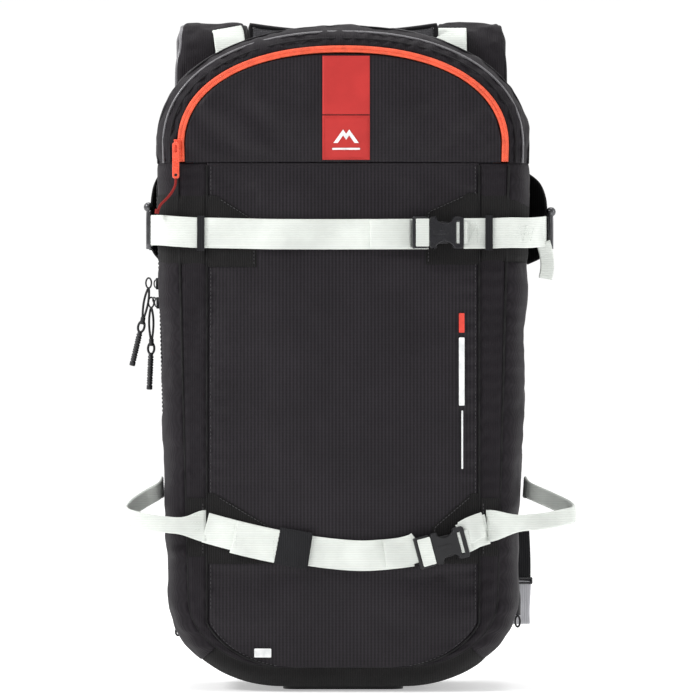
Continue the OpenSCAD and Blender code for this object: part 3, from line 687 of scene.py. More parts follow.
def build_flap():
    def lid(U, V):
        w = 2 * U - 1
        x, top = edge(3 - np.abs(w), 25.0)
        x = np.sign(w + 1e-12) * x
        z = HINGE_Z + (top - HINGE_Z) * V
        return stack(x, flap_y(x, z), z)

    def folds(P):
        x, z = P[..., 0], P[..., 2]
        arm = np.abs(x) - (z - HINGE_Z) * 0.9
        drape = 1.5 * np.sin(arm / 8.0 + 0.5 * np.sin(z / 17)) * smooth(np.abs(x), 34, 70) \
            * (1 - smooth(z, 470, 500))
        lift = np.clip(drape + 1.3 * fbm(P, 30.0, 12.0), -2.0, 1.8)
        return lift * smooth(np.abs(x - 2.5), 20, 32) * smooth(z - HINGE_Z, 3, 18)
    cloth_panel("flap_cloth", lid, 130, 60, 2.4, M_FRONT, folds,
                seam_dip=lambda V: 0.5 * smooth(V, 0.01, 0.06),
                body="flap", slot="shell_fabric", stands_for="flap_panel")
    for k, (z0, z1) in enumerate(((438.2, 474.6), (475.4, 524.0))):
        def label(U, V):
            x, z = -17 + 39 * U, z0 + (z1 - z0) * V
            return stack(x, flap_y(x, z) - 0.9, z)
        cloth_panel(f"flap_label_{k}", label, 24, 24, 0.8, M_RED, seam_dip=0.35, body="flap",
                    stands_for="flap_label")
    rim = [(-16, 439.5), (21, 439.5), (21, 473.2), (-16, 473.2), (-16, 439.5)]
    stitched_outline("label_stitch", rim, lambda x, z: stack(x, flap_y(x, z) - 1.0, z), (0, -1, 0), 12,
                     mat=M_RED, pitch=2.2, length=1.5, r=0.22, body="flap", slot="label_red")
    peak = [(-8, 452), (0, 463), (2.5, 459.5), (5, 463), (13, 452), (9.4, 452), (5, 458.2), (2.5, 454.6),
            (0, 458.2), (-4.4, 452)]
    for name, outline in (("label_mark", peak), ("label_bar", rounded_rect(-9, 14, 446.4, 448.0, 0.6))):
        flat_shape(name, [outline], 0.5, 0.08, M_PRINT, on_flap(1.15), body="flap", slot="label_red")
    zip_half("flap_zip_coil", 22.7, "flap", "flap_zip_tape")
    zip_half("main_zip_coil", 20.1, "pack", "main_zip_tape")


build_shell()
build_seams()
build_flap()

# ---------------------------------------------------------------- patches and prints on the front


def front_patch(name, x0, x1, z0, z1, stands_for=None, proud=1.15):
    """A reinforcement patch on the front, between two edges given as functions of height."""
    def f(U, V):
        z = z0 + (z1 - z0) * V
        x = x0(z) + (x1(z) - x0(z)) * U
        return stack(x, front_y(x, z) - proud, z)
    cloth_panel(name, f, 40, 44, 1.0, M_PATCH, lambda P: 0.12 * fbm(P, 16.0, 3.0), seam_dip=0.5,
                stands_for=stands_for)
    z = np.linspace(z0 + 2, z1 - 3, 40)
    inner = x1 if abs(float(x1(z0))) < abs(float(x0(z0))) else x0
    x = inner(z) + math.copysign(2.2, float(inner(z0)))
    row = stack(x, front_y(inner(z), z) - proud - 0.15, z)
    stitches(name + "_stitch", row, (0, -1, 0), pitch=3.0, length=2.1, slot="patch_fabric")


def build_patches():
    # Each inner patch: side, edge towards the middle, slant of that edge above its start, and heights
    rows = (("upper_left", -1, 71, 35 / 22, 388, 350, 409), ("upper_right", 1, 68, 38 / 17, 395, 352, 411),
            ("lower_left", -1, 55, 51 / 30, 134, 106, 164), ("lower_right", 1, 73, 33 / 28, 136, 106, 164))
    for word, side, inner, slant, bend, z0, z1 in rows:
        def middle(z):
            return side * (inner + slant * np.maximum(np.asarray(z, float) - bend, 0))

        def seam(z):
            return side * (SEAM_X - 0.5) + 0 * z
        pair = (seam, middle) if side < 0 else (middle, seam)
        front_patch(f"patch_{word}", *pair, z0, z1, "strap_patches")
    # The outer patches wrap from the front strip on to the side, with the front's share of them first
    share = 0.35
    for (side, word), z0 in zip(SIDES, (352, 354)):
        def wrap(U, V):
            z = z0 + (410 - z0) * V
            x = side * (SEAM_X + 1 + (half_at(z, RIM) - SEAM_X - 1) * np.clip(U / share, 0, 1))
            round_side = gusset(side, side_of_height(z), 0.62 * np.clip((U - share) / (1 - share), 0, 1))
            return np.where((U < share)[..., None], stack(x, front_y(x, z), z), round_side)
        cloth_panel(f"patch_outer_{word}", wrap, 60, 36, 0.2, M_PATCH,
                    lambda P: 1.0 + 0.12 * fbm(P, 16.0, 2.0), (side * 0.5, -1, 0), seam_dip=0.2)
    for side, word in SIDES:
        front_patch(f"patch_loop_{word}", lambda z: side * (SEAM_X + 1) + 0 * z,
                    lambda z: side * (half_at(z, RIM) - 0.5), 112, 160)


def build_prints():
    """Plain printed bars up the right of the front, in place of any wording, and a blank seam tag."""
    def on_front(h):
        return lambda p: stack(p[:, 0], front_y(p[:, 0], p[:, 2]) - h + p[:, 1], p[:, 2])
    for word, half, z0, z1, mat in (("thin", 0.7, 184, 232, M_PRINT), ("bold", 2.3, 236, 292, M_PRINT),
                                    ("red", 2.3, 296, 312, M_PRINT_RED)):
        middle = 97.9 if word == "thin" else 97.5
        flat_shape(f"print_{word}", [rounded_rect(middle - half, middle + half, z0, z1, 0.6)], 0.4, 0.08, mat,
                   on_front(1.75))
    flat_shape("seam_tag", [rounded_rect(-73, -59, 29, 36.4, 0.8)], 0.7, 0.15, M_PRINT, on_front(1.6),
               slot="webbing_white")


# ---------------------------------------------------------------- front straps
# A strap lies OVER mm off the front, and a second layer of it that much more again
OVER, SECOND = 3.0, 1.75
STRAP_W, STRAP_T = 25.0, 1.6
FINE = {"mat": M_THREAD_WHITE, "pitch": 2.4, "length": 1.7, "r": 0.28}


def front_strap(name, points, stands_for=None, width=STRAP_W, mat=M_WHITE, sway=0.5, body="pack"):
    """Webbing along the front, square to the cloth's slope, with a slight wave."""
    path = spline(points, 6)
    run = run_of(path)
    path[:, 1] -= 0.25 * np.abs(np.sin(run / 17.0)) * sway
    path[:, 2] += sway * 0.5 * np.sin(run / 43.0)
    x, z = path[:, 0], path[:, 2]
    slope = np.where(np.abs(x) < 126, (front_y(x, z + 8) - front_y(x, z - 8)) / 16.0, 0.0)
    sweep(name, path, stack(0.0, slope, 1.0), tape_section(width, STRAP_T), mat, body=body,
          stands_for=stands_for)


def on_face(x, z, h=OVER):
    return (x, float(front_y(x, z)) - h, z)


def on_hang(xs, dz=0.0, h=OVER):
    """Points of the lower strap."""
    return [on_face(x, float(hang_z(x)) + dz, h) for x in xs]


def build_upper_strap():
    z = UPPER_Z
    left = [(-159.5, -16, 381), (-159, -40, 381), (-157, -62, 380.5), (-149, -76, 380), (-138, -80.2, 379)]
    left += [on_face(x, z + max(0, (-x - 60) / 60)) for x in range(-122, 73, 12)]
    front_strap("upper_strap_left_webbing", left, "upper_strap_left")
    right = [on_face(x, z + 0.5) for x in (99, 106, 113, 121)]
    right += [(138, -80.4, 378), (152, -73.5, 378), (161.5, -56, 379), (166.8, -36, 380), (169.5, -16, 381)]
    front_strap("upper_strap_right_webbing", right, "upper_strap_right")
    # The strap is doubled back at the buckle and at the hook, with its end sewn down
    doubled = [on_face(x, z, OVER + 1.9) for x in (22, 32, 44, 56)]
    front_strap("upper_strap_fold", doubled, width=24.4, sway=0.2, body="upper_plug")
    box = [(102.5, z - 8), (111.0, z - 8), (111.0, z + 9), (102.5, z + 9), (102.5, z - 8), (111.0, z + 9)]
    stitched_outline("upper_strap_box", box, lambda x, z: stack(x, front_y(x, z) - OVER - 1.0, z),
                     (0, -1, 0), 8, **FINE)
    hem = [(142 + k * 3.1, -80.3 + k * 1.3, 378 + (7 if k % 2 else -7)) for k in range(6)]
    stitches("upper_strap_zigzag", hem, (0.4, -1, 0), M_THREAD_WHITE, pitch=2.4, length=1.8)
    tail = [(166.5, -34, 371), (169, -30, 362), (170, -29, 351), (168.5, -29, 341)]
    webbing("upper_strap_tail", tail, (1, 0.3, 0), 12.0, 1.4, mat=M_WHITE)
    for k, (x0, dz) in enumerate(((-120, 0.6), (117, 1))):
        keeper = [on_face(x, z + dz, OVER + SECOND) for x in (x0, x0 + 3, x0 + 6)]
        front_strap(f"strap_keeper_{k}", keeper, "strap_keepers", 29.0, M_TAPE, 0)


def build_lower_strap():
    front_strap("lower_strap_left_webbing", on_hang(range(-113, 67, 10)), "lower_strap_left")
    front_strap("lower_strap_overlay", on_hang((-90, -80, -70, -60, -54), -1.2, OVER + 1.7), width=27.0,
                sway=0.3)
    tail = [on_face(x, float(hang_z(x)) + dz, OVER + h) for x, dz, h in
            ((34, 0, 1.8), (46, 0.4, 2.1), (54, 1.2, 3.0), (60, 2.6, 4.2), (63, 4.4, 5.2))]
    front_strap("lower_strap_curl", tail, width=24.0, sway=0.0, body="lower_plug")
    right = [(97, -91.0, 126.5), (104, -90.0, 129.5), (111, -86.4, 132.5), (118.5, -82.6, 134.5)]
    front_strap("lower_strap_right_webbing", right, "lower_strap_right", sway=0.0)
    curl = [(99, -92.6, 131), (105, -94.0, 134.5), (111, -92.0, 137), (115, -88.6, 138.5)]
    front_strap("lower_strap_right_curl", curl, width=21.0, sway=0.0)
    front_strap("strap_keeper_elastic", on_hang((-54, -45, -36, -27), 0.0, OVER + SECOND), "strap_keepers",
                30.5, M_TAPE, 0)
    for k, x in enumerate((-88, -57)):
        z = float(hang_z(x)) - 1 + np.linspace(-10, 10, 9)
        stitches(f"lower_overlay_stitch_{k}", stack(x, front_y(x, z) - OVER - 2.6, z), (0, -1, 0), **FINE)


SKI_LEFT = [(-112.6, -82.6, 137), (-130, -84, 137), (-152, -84, 139), (-170, -74, 142), (-179, -58, 145),
            (-176, -40, 150), (-166, -28, 157), (-154, -20, 164), (-151.5, -6, 167)]
SKI_RIGHT = [(118.6, -82.6, 137), (140, -86, 139), (163, -84, 141), (182, -74, 144), (191, -58, 146),
             (187, -40, 150), (172, -28, 157), (156, -20, 164), (152, -6, 167)]


def build_ski_loops():
    def section(s):
        width = 13.5 + 13.0 * (1 - float(smooth(s, 0.0, 0.17))) + 5.0 * float(smooth(s, 0.86, 1.0))
        return tape_section(width, 2.7, 0.25)
    for (side, word), route in zip(SIDES, (SKI_LEFT, SKI_RIGHT)):
        sweep(f"ski_loop_{word}_webbing", spline(route, 6), (0.0, 0.1, 1.0), section, M_WHITE,
              stands_for=f"ski_loop_{word}")
        for k, dz in enumerate((-9, -3, 3, 9)):
            row = stack(np.linspace(side * 117.5, side * 126, 5), -85.0, 137 + dz)
            stitches(f"ski_loop_{word}_stitch_{k}", row, (0, -1, 0), **FINE)


def build_wings():
    """Fabric tabs at the sides, and the hooks that they carry."""
    tabs = ((-1, "left", [(-155.8, 34, 384), (-158.6, 10, 384), (-160.3, -12, 384)], 26, -162.5, 400),
            (1, "right", [(156, 34, 382), (165, 8, 382), (170, -12, 382)], 28, 173.5, 396))
    for side, word, route, half, x, z1 in tabs:
        def section(s):
            low, high = -half * (1 - 0.3 * s), half * (0.62 + 1.15 * math.sqrt(max(1 - s, 0)))
            return np.array(tape_section(high - low, 1.9, 0.05)) + ((low + high) / 2, 0)
        sweep(f"wing_{word}", spline(route, 8), (0, 0, 1), section, M_PATCH, stands_for="compression_wings")
        bar = [(x, -18, 366), (x, -18, z1 - 6), (x - side * 0.6, -17, z1 - 2), (x - side * 1.5, -15, z1)]
        cordage(f"hook_bar_{word}", spline(bar, 6), 2.1, M_HOOK, sides=10, stands_for="side_hooks")
        lathe(f"hook_ball_{word}", [(0.05, -4.1), (2.2, -3.5), (3.6, -2.0), (4.1, 0), (3.6, 2.0), (2.2, 3.5),
                                    (0.05, 4.1)], (x, -18, z1 + 1), M_HOOK)
        flat_shape(f"hook_frame_{word}",
                   [rounded_rect(-4.6, 4.6, -17, 17, 2.4), rounded_rect(-2.0, 2.0, -13.6, 13.6, 1.2)],
                   2.4, 0.7, M_BUCKLE if side > 0 else M_HOOK,
                   lambda p: stack(x - side * 1.5 + p[:, 1], -18 + p[:, 0], 382 + p[:, 2]), slot="steel")


def lathe(name, profile, centre, mat, turns=24):
    """Turn a profile of (radius, height) points about an upright axis through centre."""
    a = np.linspace(0, 2 * math.pi, turns, endpoint=False)
    verts = np.vstack([stack(r * np.cos(a), r * np.sin(a), h) for r, h in profile]) + centre
    n = len(profile)
    faces = [(i * turns + j, i * turns + (j + 1) % turns,
              (i + 1) * turns + (j + 1) % turns, (i + 1) * turns + j)
             for i in range(n - 1) for j in range(turns)]
    faces += [tuple(reversed(range(turns))), tuple(range((n - 1) * turns, n * turns))]
    return sharpen(new_object(name, verts, faces, mat), 50)


# ---------------------------------------------------------------- buckles


def buckle_place(at, tilt_deg, yaw_deg):
    turn = Matrix.Rotation(math.radians(yaw_deg), 3, "Z") @ Matrix.Rotation(math.radians(tilt_deg), 3, "Y")
    m = np.array(turn)
    return lambda p: p @ m.T + np.array(at)


def build_buckle(word, at, tilt_deg, yaw_deg, mat):
    put = buckle_place(at, tilt_deg, yaw_deg)
    socket, plug = f"{word}_socket", f"{word}_plug"

    def moulding(name, loops, depth, round_mm, y=0.0, mat=mat, **kind):
        flat_shape(f"{word}_{name}", loops, depth, round_mm, mat, lambda p: put(p + (0, y, 0)), **kind)
    # Socket: waisted body with a slot for the webbing
    half = [(0.0, 11.4), (1.2, 13.0), (5.0, 13.0), *arc(12.4, 15.8, 8.6, -161, -19, 9), (21.2, 13.0),
            (26.6, 13.0), (28, 11.4)]
    body = [(x, -z) for x, z in half] + half[::-1]
    slot_hole = rounded_rect(21.6, 24.4, -9.6, 9.6, 0.8)
    for k, y in enumerate((-3.0, 3.0)):
        moulding(f"socket_shell_{k}", [body, slot_hole], 2.0, 0.5, y, stands_for=socket)
    moulding("socket_end", [rounded_rect(18.6, 27.6, -12.6, 12.6, 1.4), slot_hole], 4.4, 0.2,
             stands_for=socket)
    for side in (-1, 1):
        rail = rounded_rect(0.4, 6.0, side * 11.5 - 1.2, side * 11.5 + 1.2, 0.6)
        moulding(f"socket_rail_{side + 1}", [rail], 4.4, 0.2, stands_for=socket)
    moulding("socket_rib", [rounded_rect(3.0, 15.5, -1.6, 1.6, 1.4)], 0.9, 0.3, -4.1)
    moulding("socket_webbing", [rounded_rect(21.8, 31.0, -8.9, 8.9, 0.8)], 1.7, 0.4, -2.2, M_WHITE)
    # Plug: ladder frame with two windows and three prongs
    windows = [rounded_rect(-11.4, -8.0, -10, 10, 0.9), rounded_rect(-5.6, -2.8, -10, 10, 0.9)]
    moulding("plug_frame", [rounded_rect(-14, -0.5, -13, 13, 2.2), *windows], 5.6, 0.8, body=plug,
             stands_for=plug)
    moulding("plug_bar", [rounded_rect(-14.2, -11.6, -13.2, 13.2, 1.2)], 7.6, 0.9, body=plug, stands_for=plug)
    moulding("plug_webbing", [rounded_rect(-11.4, -0.6, -11.4, 11.4, 0.8)], 1.8, 0.5, -3.4, M_WHITE,
             body=plug)
    moulding("plug_tongue", [rounded_rect(-1, 16, -2.6, 2.6, 1.2)], 3.2, 0.5, body=plug, stands_for=plug)
    for side in (-1, 1):
        arm = [(-1, side * 5.2), (9, side * 6.0), (10, side * 5.0), (16, side * 6.6), (15.4, side * 8.8),
               (10, side * 9.0), (-1, side * 9.0)]
        moulding(f"plug_arm_{side + 1}", [arm[::side]], 3.2, 0.5, body=plug, stands_for=plug)


build_patches()
build_prints()
build_upper_strap()
build_lower_strap()
build_ski_loops()
build_wings()
build_buckle("upper", (71, -89.7, UPPER_Z + 1), 0, 2.6, M_BUCKLE)
build_buckle("lower", (74, -95.2, 118), -15, 6, M_MATT)

# ---------------------------------------------------------------- zip sliders and pulls
UPRIGHT, ALONG_X, ALONG_Y = (0, 0, 1), (1, 0, 0), (0, 1, 0)


def zip_slider(body, at, size, mat, on_side=False):
    """A slider: waisted plate with a rounded bridge, on the front or turned to the left side."""
    w, h = size
    plate = [(-w / 2, h / 2), (-w * 0.36, 0), (-w / 2, -h / 2), (w / 2, -h / 2), (w * 0.36, 0),
             (w / 2, h / 2)]

    def put(p):
        return (stack(p[:, 1], -p[:, 0], p[:, 2]) if on_side else p) + at
    flat_shape(f"{body}_body_plate", [plate[::-1]], 2.4, 0.6, mat, put, body=body, stands_for=body)
    a = np.linspace(0, math.pi, 12)
    bridge = stack(0, -1.0 - 1.7 * np.sin(a), h * 0.34 * np.cos(a))
    if on_side:
        bridge = bridge[:, [1, 0, 2]]
    cordage(f"{body}_body_bridge", bridge + at, 0.55, mat, (1, 0.1, 0), body=body)


def build_main_pull():
    zip_slider("main_slider", (-136.9, -77.8, 449.5), (4.8, 11.0), M_CORAL_SHINE)
    tab = [rounded_rect(-140.4, -134.6, 422.6, 452.6, 2.2), arc(-137.5, 425.6, 1.25, 0, 330, 12),
           rounded_rect(-138.6, -136.4, 444.0, 450.4, 1.0)]
    flat_shape("main_pull_tab", tab, 2.2, 0.7, M_CORAL_SHINE, shift(0, -81.4, 0), body="main_pull",
               stands_for="main_pull")
    for k in range(5):
        z = 429.5 + 2.6 * k
        rib = [(-139.4, -82.55, z), (-137.5, -82.65, z), (-135.6, -82.55, z)]
        cordage(f"main_pull_rib_{k}", rib, 0.42, M_CORAL_SHINE, UPRIGHT, body="main_pull")


def cord_ring(name, centre, a, b, r, u=ALONG_X, v=UPRIGHT, **kind):
    """A closed oval loop of cord, a wide along u and b along v either side of its centre."""
    path = round_section(a, b, 28) @ np.array([u, v], float) + centre
    sweep(name, path, ALONG_Y, round_section(r, r), M_ZIP, closed=True, **kind)


def build_side_pull(word, top, knot, end):
    """Wire eye, knotted loop, cord and ribbed grip of one puller."""
    body = f"side_pull_{word}"
    top, knot, end = (np.array(p, float) for p in (top, knot, end))
    cord_ring(body + "_eye", top + (0, 0, 0.5), 2.3, 4.2, 0.7, body=body, stands_for=body)
    down = (knot - top) / np.linalg.norm(knot - top)
    wide = ALONG_X - down * down[0]
    start = top + (0, 0, -3.2)
    t = np.linspace(0, 1, 14)[:, None]
    for k, sign in enumerate((-1, 1)):
        bow = sign * 2.2 * np.sin(math.pi * t) ** 0.8 * (1 - 0.35 * t)
        cordage(f"{body}_strand_{k}", start + (knot - start) * t + bow * wide, 0.95, M_ZIP, body=body)
    cordage(body + "_knot", spline([knot - down * 3.0, knot + down * 3.0], 6), 2.1, M_ZIP, sides=10,
            body=body)
    link = (end - knot) / np.linalg.norm(end - knot)
    cord_ring(body + "_grip_eye", knot + link * 5.0, 2.6, 4.6, 1.0, np.cross(link, ALONG_Y), link, body=body)

    def section(s):
        groove = 0.22 * (math.cos(s * 2 * math.pi * 14) > 0.55) * (s < 0.93)
        taper = 0.75 + 0.25 * float(smooth(s, 0.0, 0.12))
        r = 2.45 * taper * (1.0 - 0.35 * float(smooth(s, 0.985, 1.0))) * (1 - groove)
        return round_section(r, r, 12)
    sweep(body + "_grip", spline([knot + link * 9.0, end - link * 0.5], 60), ALONG_Y, section, M_ZIP,
          body=body)


def build_side_zip():
    z = np.linspace(206, 419, 700)
    coil = stack(-half_at(z, 0) - 0.9, SIDE_ZIP_Y, z)
    sweep("side_zip_coil", coil, ALONG_Y, coil_section(2.4, 0.55, "b", z[-1] - z[0]), M_ZIP)
    sweep("side_zip_band", coil[::20] + (0.3, 0, 0), ALONG_Y, tape_section(15.6, 0.7, 0.04), M_TAPE,
          slot="zip_black", stands_for="side_zip_tape")
    for k, dy in enumerate((-9.5, 9.5)):
        stitches(f"side_zip_stitch_{k}", coil[::20] + (-0.4, dy, 0), (-1, 0, 0), slot="zip_black")
    for word, z0 in (("upper", 337), ("lower", 321)):
        x0 = -float(half_at(z0, 0)) - 3.1
        zip_slider(f"side_slider_{word}", (x0, SIDE_ZIP_Y, z0), (7.6, 9.6), M_ZIP, on_side=True)
    wire = [(x0 - 1.2, -22, z0 + 3.6), (x0 - 3.6, -19.2, z0 + 4.4), (x0 - 4.4, -15, z0 + 2.4),
            (x0 - 2.6, -15, z0 - 1.6)]
    cordage("side_slider_lower_wire", spline(wire, 8), 0.75, M_ZIP, (1, 0.1, 0), body="side_slider_lower")
    build_side_pull("upper", (-162, -29, 337), (-167, -29, 306), (-176, -29, 268))
    build_side_pull("lower", (-160.5, -15, 321), (-160.3, -15, 288), (-162, -15, 248))


def build_corner_pulls():
    """Short looped pulls sewn into the back seam near the base."""
    rows = (("left", [(-133, 42, 54), (-137, 43, 49), (-139, 43, 46)], 1.3, (-140, 43, 43), 3.2),
            ("right", [(141, 44, 86), (147.5, 46, 76), (148, 46, 57)], 2.5, (147.9, 46, 51.5), 4.6))
    for word, route, r, loop, half in rows:
        cordage(f"corner_pull_{word}", spline(route, 6), r, M_ZIP)
        cord_ring(f"corner_pull_{word}_loop", loop, 2.0, half, 0.9)


# ---------------------------------------------------------------- padded pieces
SIM_FIRST, SIM_LAST = 1, 20
# Blender cloth settings of every padded cover
FABRIC = {"vertex_group_mass": "seam", "quality": 4, "mass": 0.25, "bending_stiffness": 0.4,
          "shrink_min": -0.03, "use_pressure": True, "uniform_pressure_force": 4.0}


def coordinates(mesh):
    return np.array([v.co[:] for v in mesh.vertices])


def fill_out(obj, at_seam, cap_mm, voxel_mm=3.6):
    """Fill a padded cover: even cloth, held at its seams, is pushed out by slight pressure.

    at_seam(points_mm) gives the points held still, and cap_mm is the furthest any other may go."""
    scene = bpy.context.scene
    even = obj.modifiers.new("even", "REMESH")
    even.mode = "VOXEL"
    even.voxel_size = voxel_mm * MM
    mesh = bpy.data.meshes.new_from_object(obj.evaluated_get(bpy.context.evaluated_depsgraph_get()))
    obj.modifiers.clear()
    obj.data = mesh
    rest = coordinates(mesh)
    seam = obj.vertex_groups.new(name="seam")
    seam.add(np.flatnonzero(at_seam(rest / MM)).tolist(), 1.0, "REPLACE")
    cloth = obj.modifiers.new("cover", "CLOTH")
    for key, value in FABRIC.items():
        setattr(cloth.settings, key, value)
    cloth.settings.effector_weights.gravity = 0
    cloth.collision_settings.use_self_collision = False
    cloth.point_cache.frame_start = SIM_FIRST
    cloth.point_cache.frame_end = SIM_LAST
    for frame_number in range(SIM_FIRST, SIM_LAST + 1):
        scene.frame_set(frame_number)
    settled = obj.evaluated_get(bpy.context.evaluated_depsgraph_get()).to_mesh()
    move = coordinates(settled) - rest
    size = np.linalg.norm(move, axis=1, keepdims=True)
    move *= np.minimum(1.0, cap_mm * MM / np.maximum(size, 1e-9))
    obj.modifiers.clear()
    mesh.vertices.foreach_set("co", (rest + move).ravel())
    scene.frame_set(SIM_FIRST)
    soften = obj.modifiers.new("soften", "SUBSURF")
    soften.levels = soften.render_levels = 1
    obj.data.shade_smooth()


# Every pad's thickness where it is sewn, in mm
PAD_EDGE = 5.0


def lens_section(width, t):
    """A padded strip: thick across the middle and thin at the sewn edges."""
    a = np.linspace(-1, 1, 14)
    h = PAD_EDGE / 2 + (t - PAD_EDGE) / 2 * (1 - np.abs(a) ** 4)
    top = [(x * width / 2, y) for x, y in zip(a, h)]
    return top + [(x, -y) for x, y in top[::-1]]


def sewn_strip(path, halves, across, middle, ends=0):
    """Which points of a padded strip lie at its edges, given its half width at each point of its path."""
    rest = [axis for axis in range(3) if axis != across]

    def sewn(P):
        near = np.argmin(np.linalg.norm(P[:, None, rest] - path[None, :, rest], axis=2), axis=1)
        at_end = (near < ends) | (near > len(path) - 1 - ends) if ends else False
        return (np.abs(P[:, across] - middle) > halves[near] - 4.0) | at_end
    return sewn


STRAP_RISE = [(67.5, 462), (68, 500), (71, 530), (78, 548), (90, 558.5), (103, 550), (110, 528), (112, 490),
              (112, 410), (112, 330), (110, 250), (104, 190)]


def build_shoulder_strap(word, x):
    rise = spline([(x, y, z) for y, z in STRAP_RISE], 10)
    z = rise[:, 2]
    # The strap is pinched where it is sewn on, where it bends over the shoulder and at its lower end
    sewn_on = (3.5 if x < 0 else 2.0) * np.exp(-((z - 543) / 13.0) ** 2)
    halves = 32.0 - 4.0 * smooth(z, 546, 560) \
        - np.where(rise[:, 1] < 92, sewn_on, 3.5 * (1 - smooth(z, 190, 240)))
    count = len(rise) - 1
    pad = sweep(f"shoulder_strap_{word}_pad", rise, ALONG_X,
                lambda s: lens_section(2 * halves[round(s * count)], 9.4),
                M_SHELL, stands_for=f"shoulder_strap_{word}")
    fill_out(pad, sewn_strip(rise, halves, 0, x), 1.6)
    k = frames(rise, ALONG_X)[1]
    # Piping at both edges: on the left edge it is coloured grey as a painted highlight, on the right it is
    # black
    for j, (sign, mat) in enumerate(((-1, M_GLINT), (1, M_BINDING))):
        cordage(f"shoulder_{word}_piping_{j}", rise + np.outer(sign * (halves - 1.0), ALONG_X), 1.7, mat,
                ALONG_X)
    # Rows of quilting on the outer face, and a mesh lining on the inner face
    for j, dx in enumerate((-12, 11)):
        stitches(f"shoulder_{word}_quilt_{j}", rise[:60] + k[:60] * 6.6 + (dx, 0, 0), k[:60],
                 slot="shell_fabric")
    a = np.linspace(-1, 1, 13)
    h = 0.9 * (1 - a ** 6)
    lining = np.vstack([np.stack([a * 25, h], axis=1), np.stack([a * 25, -h - 0.1], axis=1)[::-1]])
    inner = rise[46:] + math.copysign(7.0, k[46][1]) * k[46:]
    sharpen(sweep(f"shoulder_{word}_lining", inner, ALONG_X, lining, M_MESH_FINE), 60)
    # Rails and daisy chain for the chest strap
    rail = rise[(z < 460) & (z > 340) & (rise[:, 1] > 100)]
    inset = 16 if x < 0 else -16
    sweep(f"shoulder_{word}_rail", rail + (inset, 8.6, 0), ALONG_X, tape_section(12.0, 1.3), M_TAPE)
    chain = [(x - inset * 0.4, 120.4, z) for z in (440, 410, 380, 350, 320)]
    webbing(f"shoulder_{word}_chain", chain, ALONG_X, 14.0, 1.3)
    for j, (cx, cy, cz) in enumerate(chain[1:]):
        tack = [(cx - 6, cy + 0.9, cz + 6), (cx + 6, cy + 0.9, cz + 6)]
        stitches(f"shoulder_{word}_tack_{j}", tack, ALONG_Y, pitch=2.2, length=1.7, slot="webbing_black")


def build_lifters():
    """White webbing from the top of the back panel to the front of each shoulder strap."""
    for word, x, lean in (("left", -97, 2.5), ("right", 92, 0.0)):
        route = [(x + lean, 54.5, 528), (x + lean * 0.6, 57, 536), (x, 62, 546), (x - lean * 0.4, 68, 552.5),
                 (x - lean, 72, 556)]
        webbing(f"lifter_{word}", route, ALONG_X, 26.0, 1.6, 6, M_WHITE, stands_for="load_lifters")
        stitches(f"lifter_stitch_{word}", [(x - 11, 71.0, 555.2), (x + 11, 71.0, 555.2)], (0, -1, 0.6),
                 M_THREAD_WHITE, pitch=2.4, length=1.8)


def build_strap_webbing():
    """Webbing between the back panel and each shoulder strap's lower end, with its ladder lock."""
    lock = [rounded_rect(-13, 13, -11, 11, 2.0), rounded_rect(-10.6, 10.6, -7.6, -3.6, 0.7),
            rounded_rect(-10.6, 10.6, 2.4, 6.4, 0.7)]
    for s, word in SIDES:
        path = [(s * 108, 104, 188), (s * 108, 92, 166), (s * 104, 72, 146), (s * 98, 63.4, 134)]
        webbing(f"strap_webbing_{word}", path, ALONG_X, 20.0, 1.7, 8, stands_for="strap_webbing")
        flat_shape(f"ladder_lock_{word}", lock, 3.6, 0.8, M_BUCKLE,
                   lambda p: stack(s * 108 + p[:, 0], 105.6 + p[:, 1] + p[:, 2] * 0.35, 192 + p[:, 2]))
        tail = [(s * 108, 108.5, 190), (s * 109, 108, 172), (s * 110, 104, 152), (s * 110, 99, 132),
                (s * 109, 96, 116)]
        webbing(f"strap_tail_{word}", tail, ALONG_X, 19.0, 1.5, 8)


# ---------------------------------------------------------------- back padding


def pillow(name, x0, x1, z_low, z_top, depth, mat, cap_mm, stands_for, grooves=()):
    """A sewn pad on the back, up to z_top(X): flat against the pack, domed away from it."""
    nu, nv = 34, 60
    U, V = np.meshgrid(np.linspace(-1, 1, nu), np.linspace(-1, 1, nv))
    X = (x0 + x1) / 2 + (x1 - x0) / 2 * U
    Z = z_low + (z_top(X) - z_low) * (V + 1) / 2
    dome = (1 - np.abs(U) ** 5) ** 0.6 * (1 - np.abs(V) ** 9) ** 0.6
    Y = BACK_Y + PAD_EDGE + (depth - PAD_EDGE) * dome
    for g in grooves:
        Y -= 3.2 * np.exp(-((Z - g) / 3.2) ** 2) * dome
    front = stack(X, Y, Z)
    verts = np.vstack([stack(X, BACK_Y, Z).reshape(-1, 3), front.reshape(-1, 3)])
    obj = new_object(name, verts, shell_faces(nv, nu), mat, stands_for=stands_for)

    def sewn(P):
        held = P[:, 1] < BACK_Y + PAD_EDGE
        for g in grooves:
            held |= np.abs(P[:, 2] - g) < 2.5
        return held
    fill_out(obj, sewn, cap_mm, 4.5)
    # Binding round the rim, through points at least step mm apart
    step = 1.5
    rim = [front[0, 0]]
    for p in np.vstack([front[0], front[:, -1], front[-1][::-1], front[:, 0][::-1]]):
        if np.linalg.norm(p - rim[-1]) > step:
            rim.append(p)
    if np.linalg.norm(rim[0] - rim[-1]) < step:
        rim.pop()
    sweep(name + "_binding", np.array(rim) - (0, PAD_EDGE / 2, 0), ALONG_Y, round_section(2.0, 2.0),
          M_BINDING, closed=True)


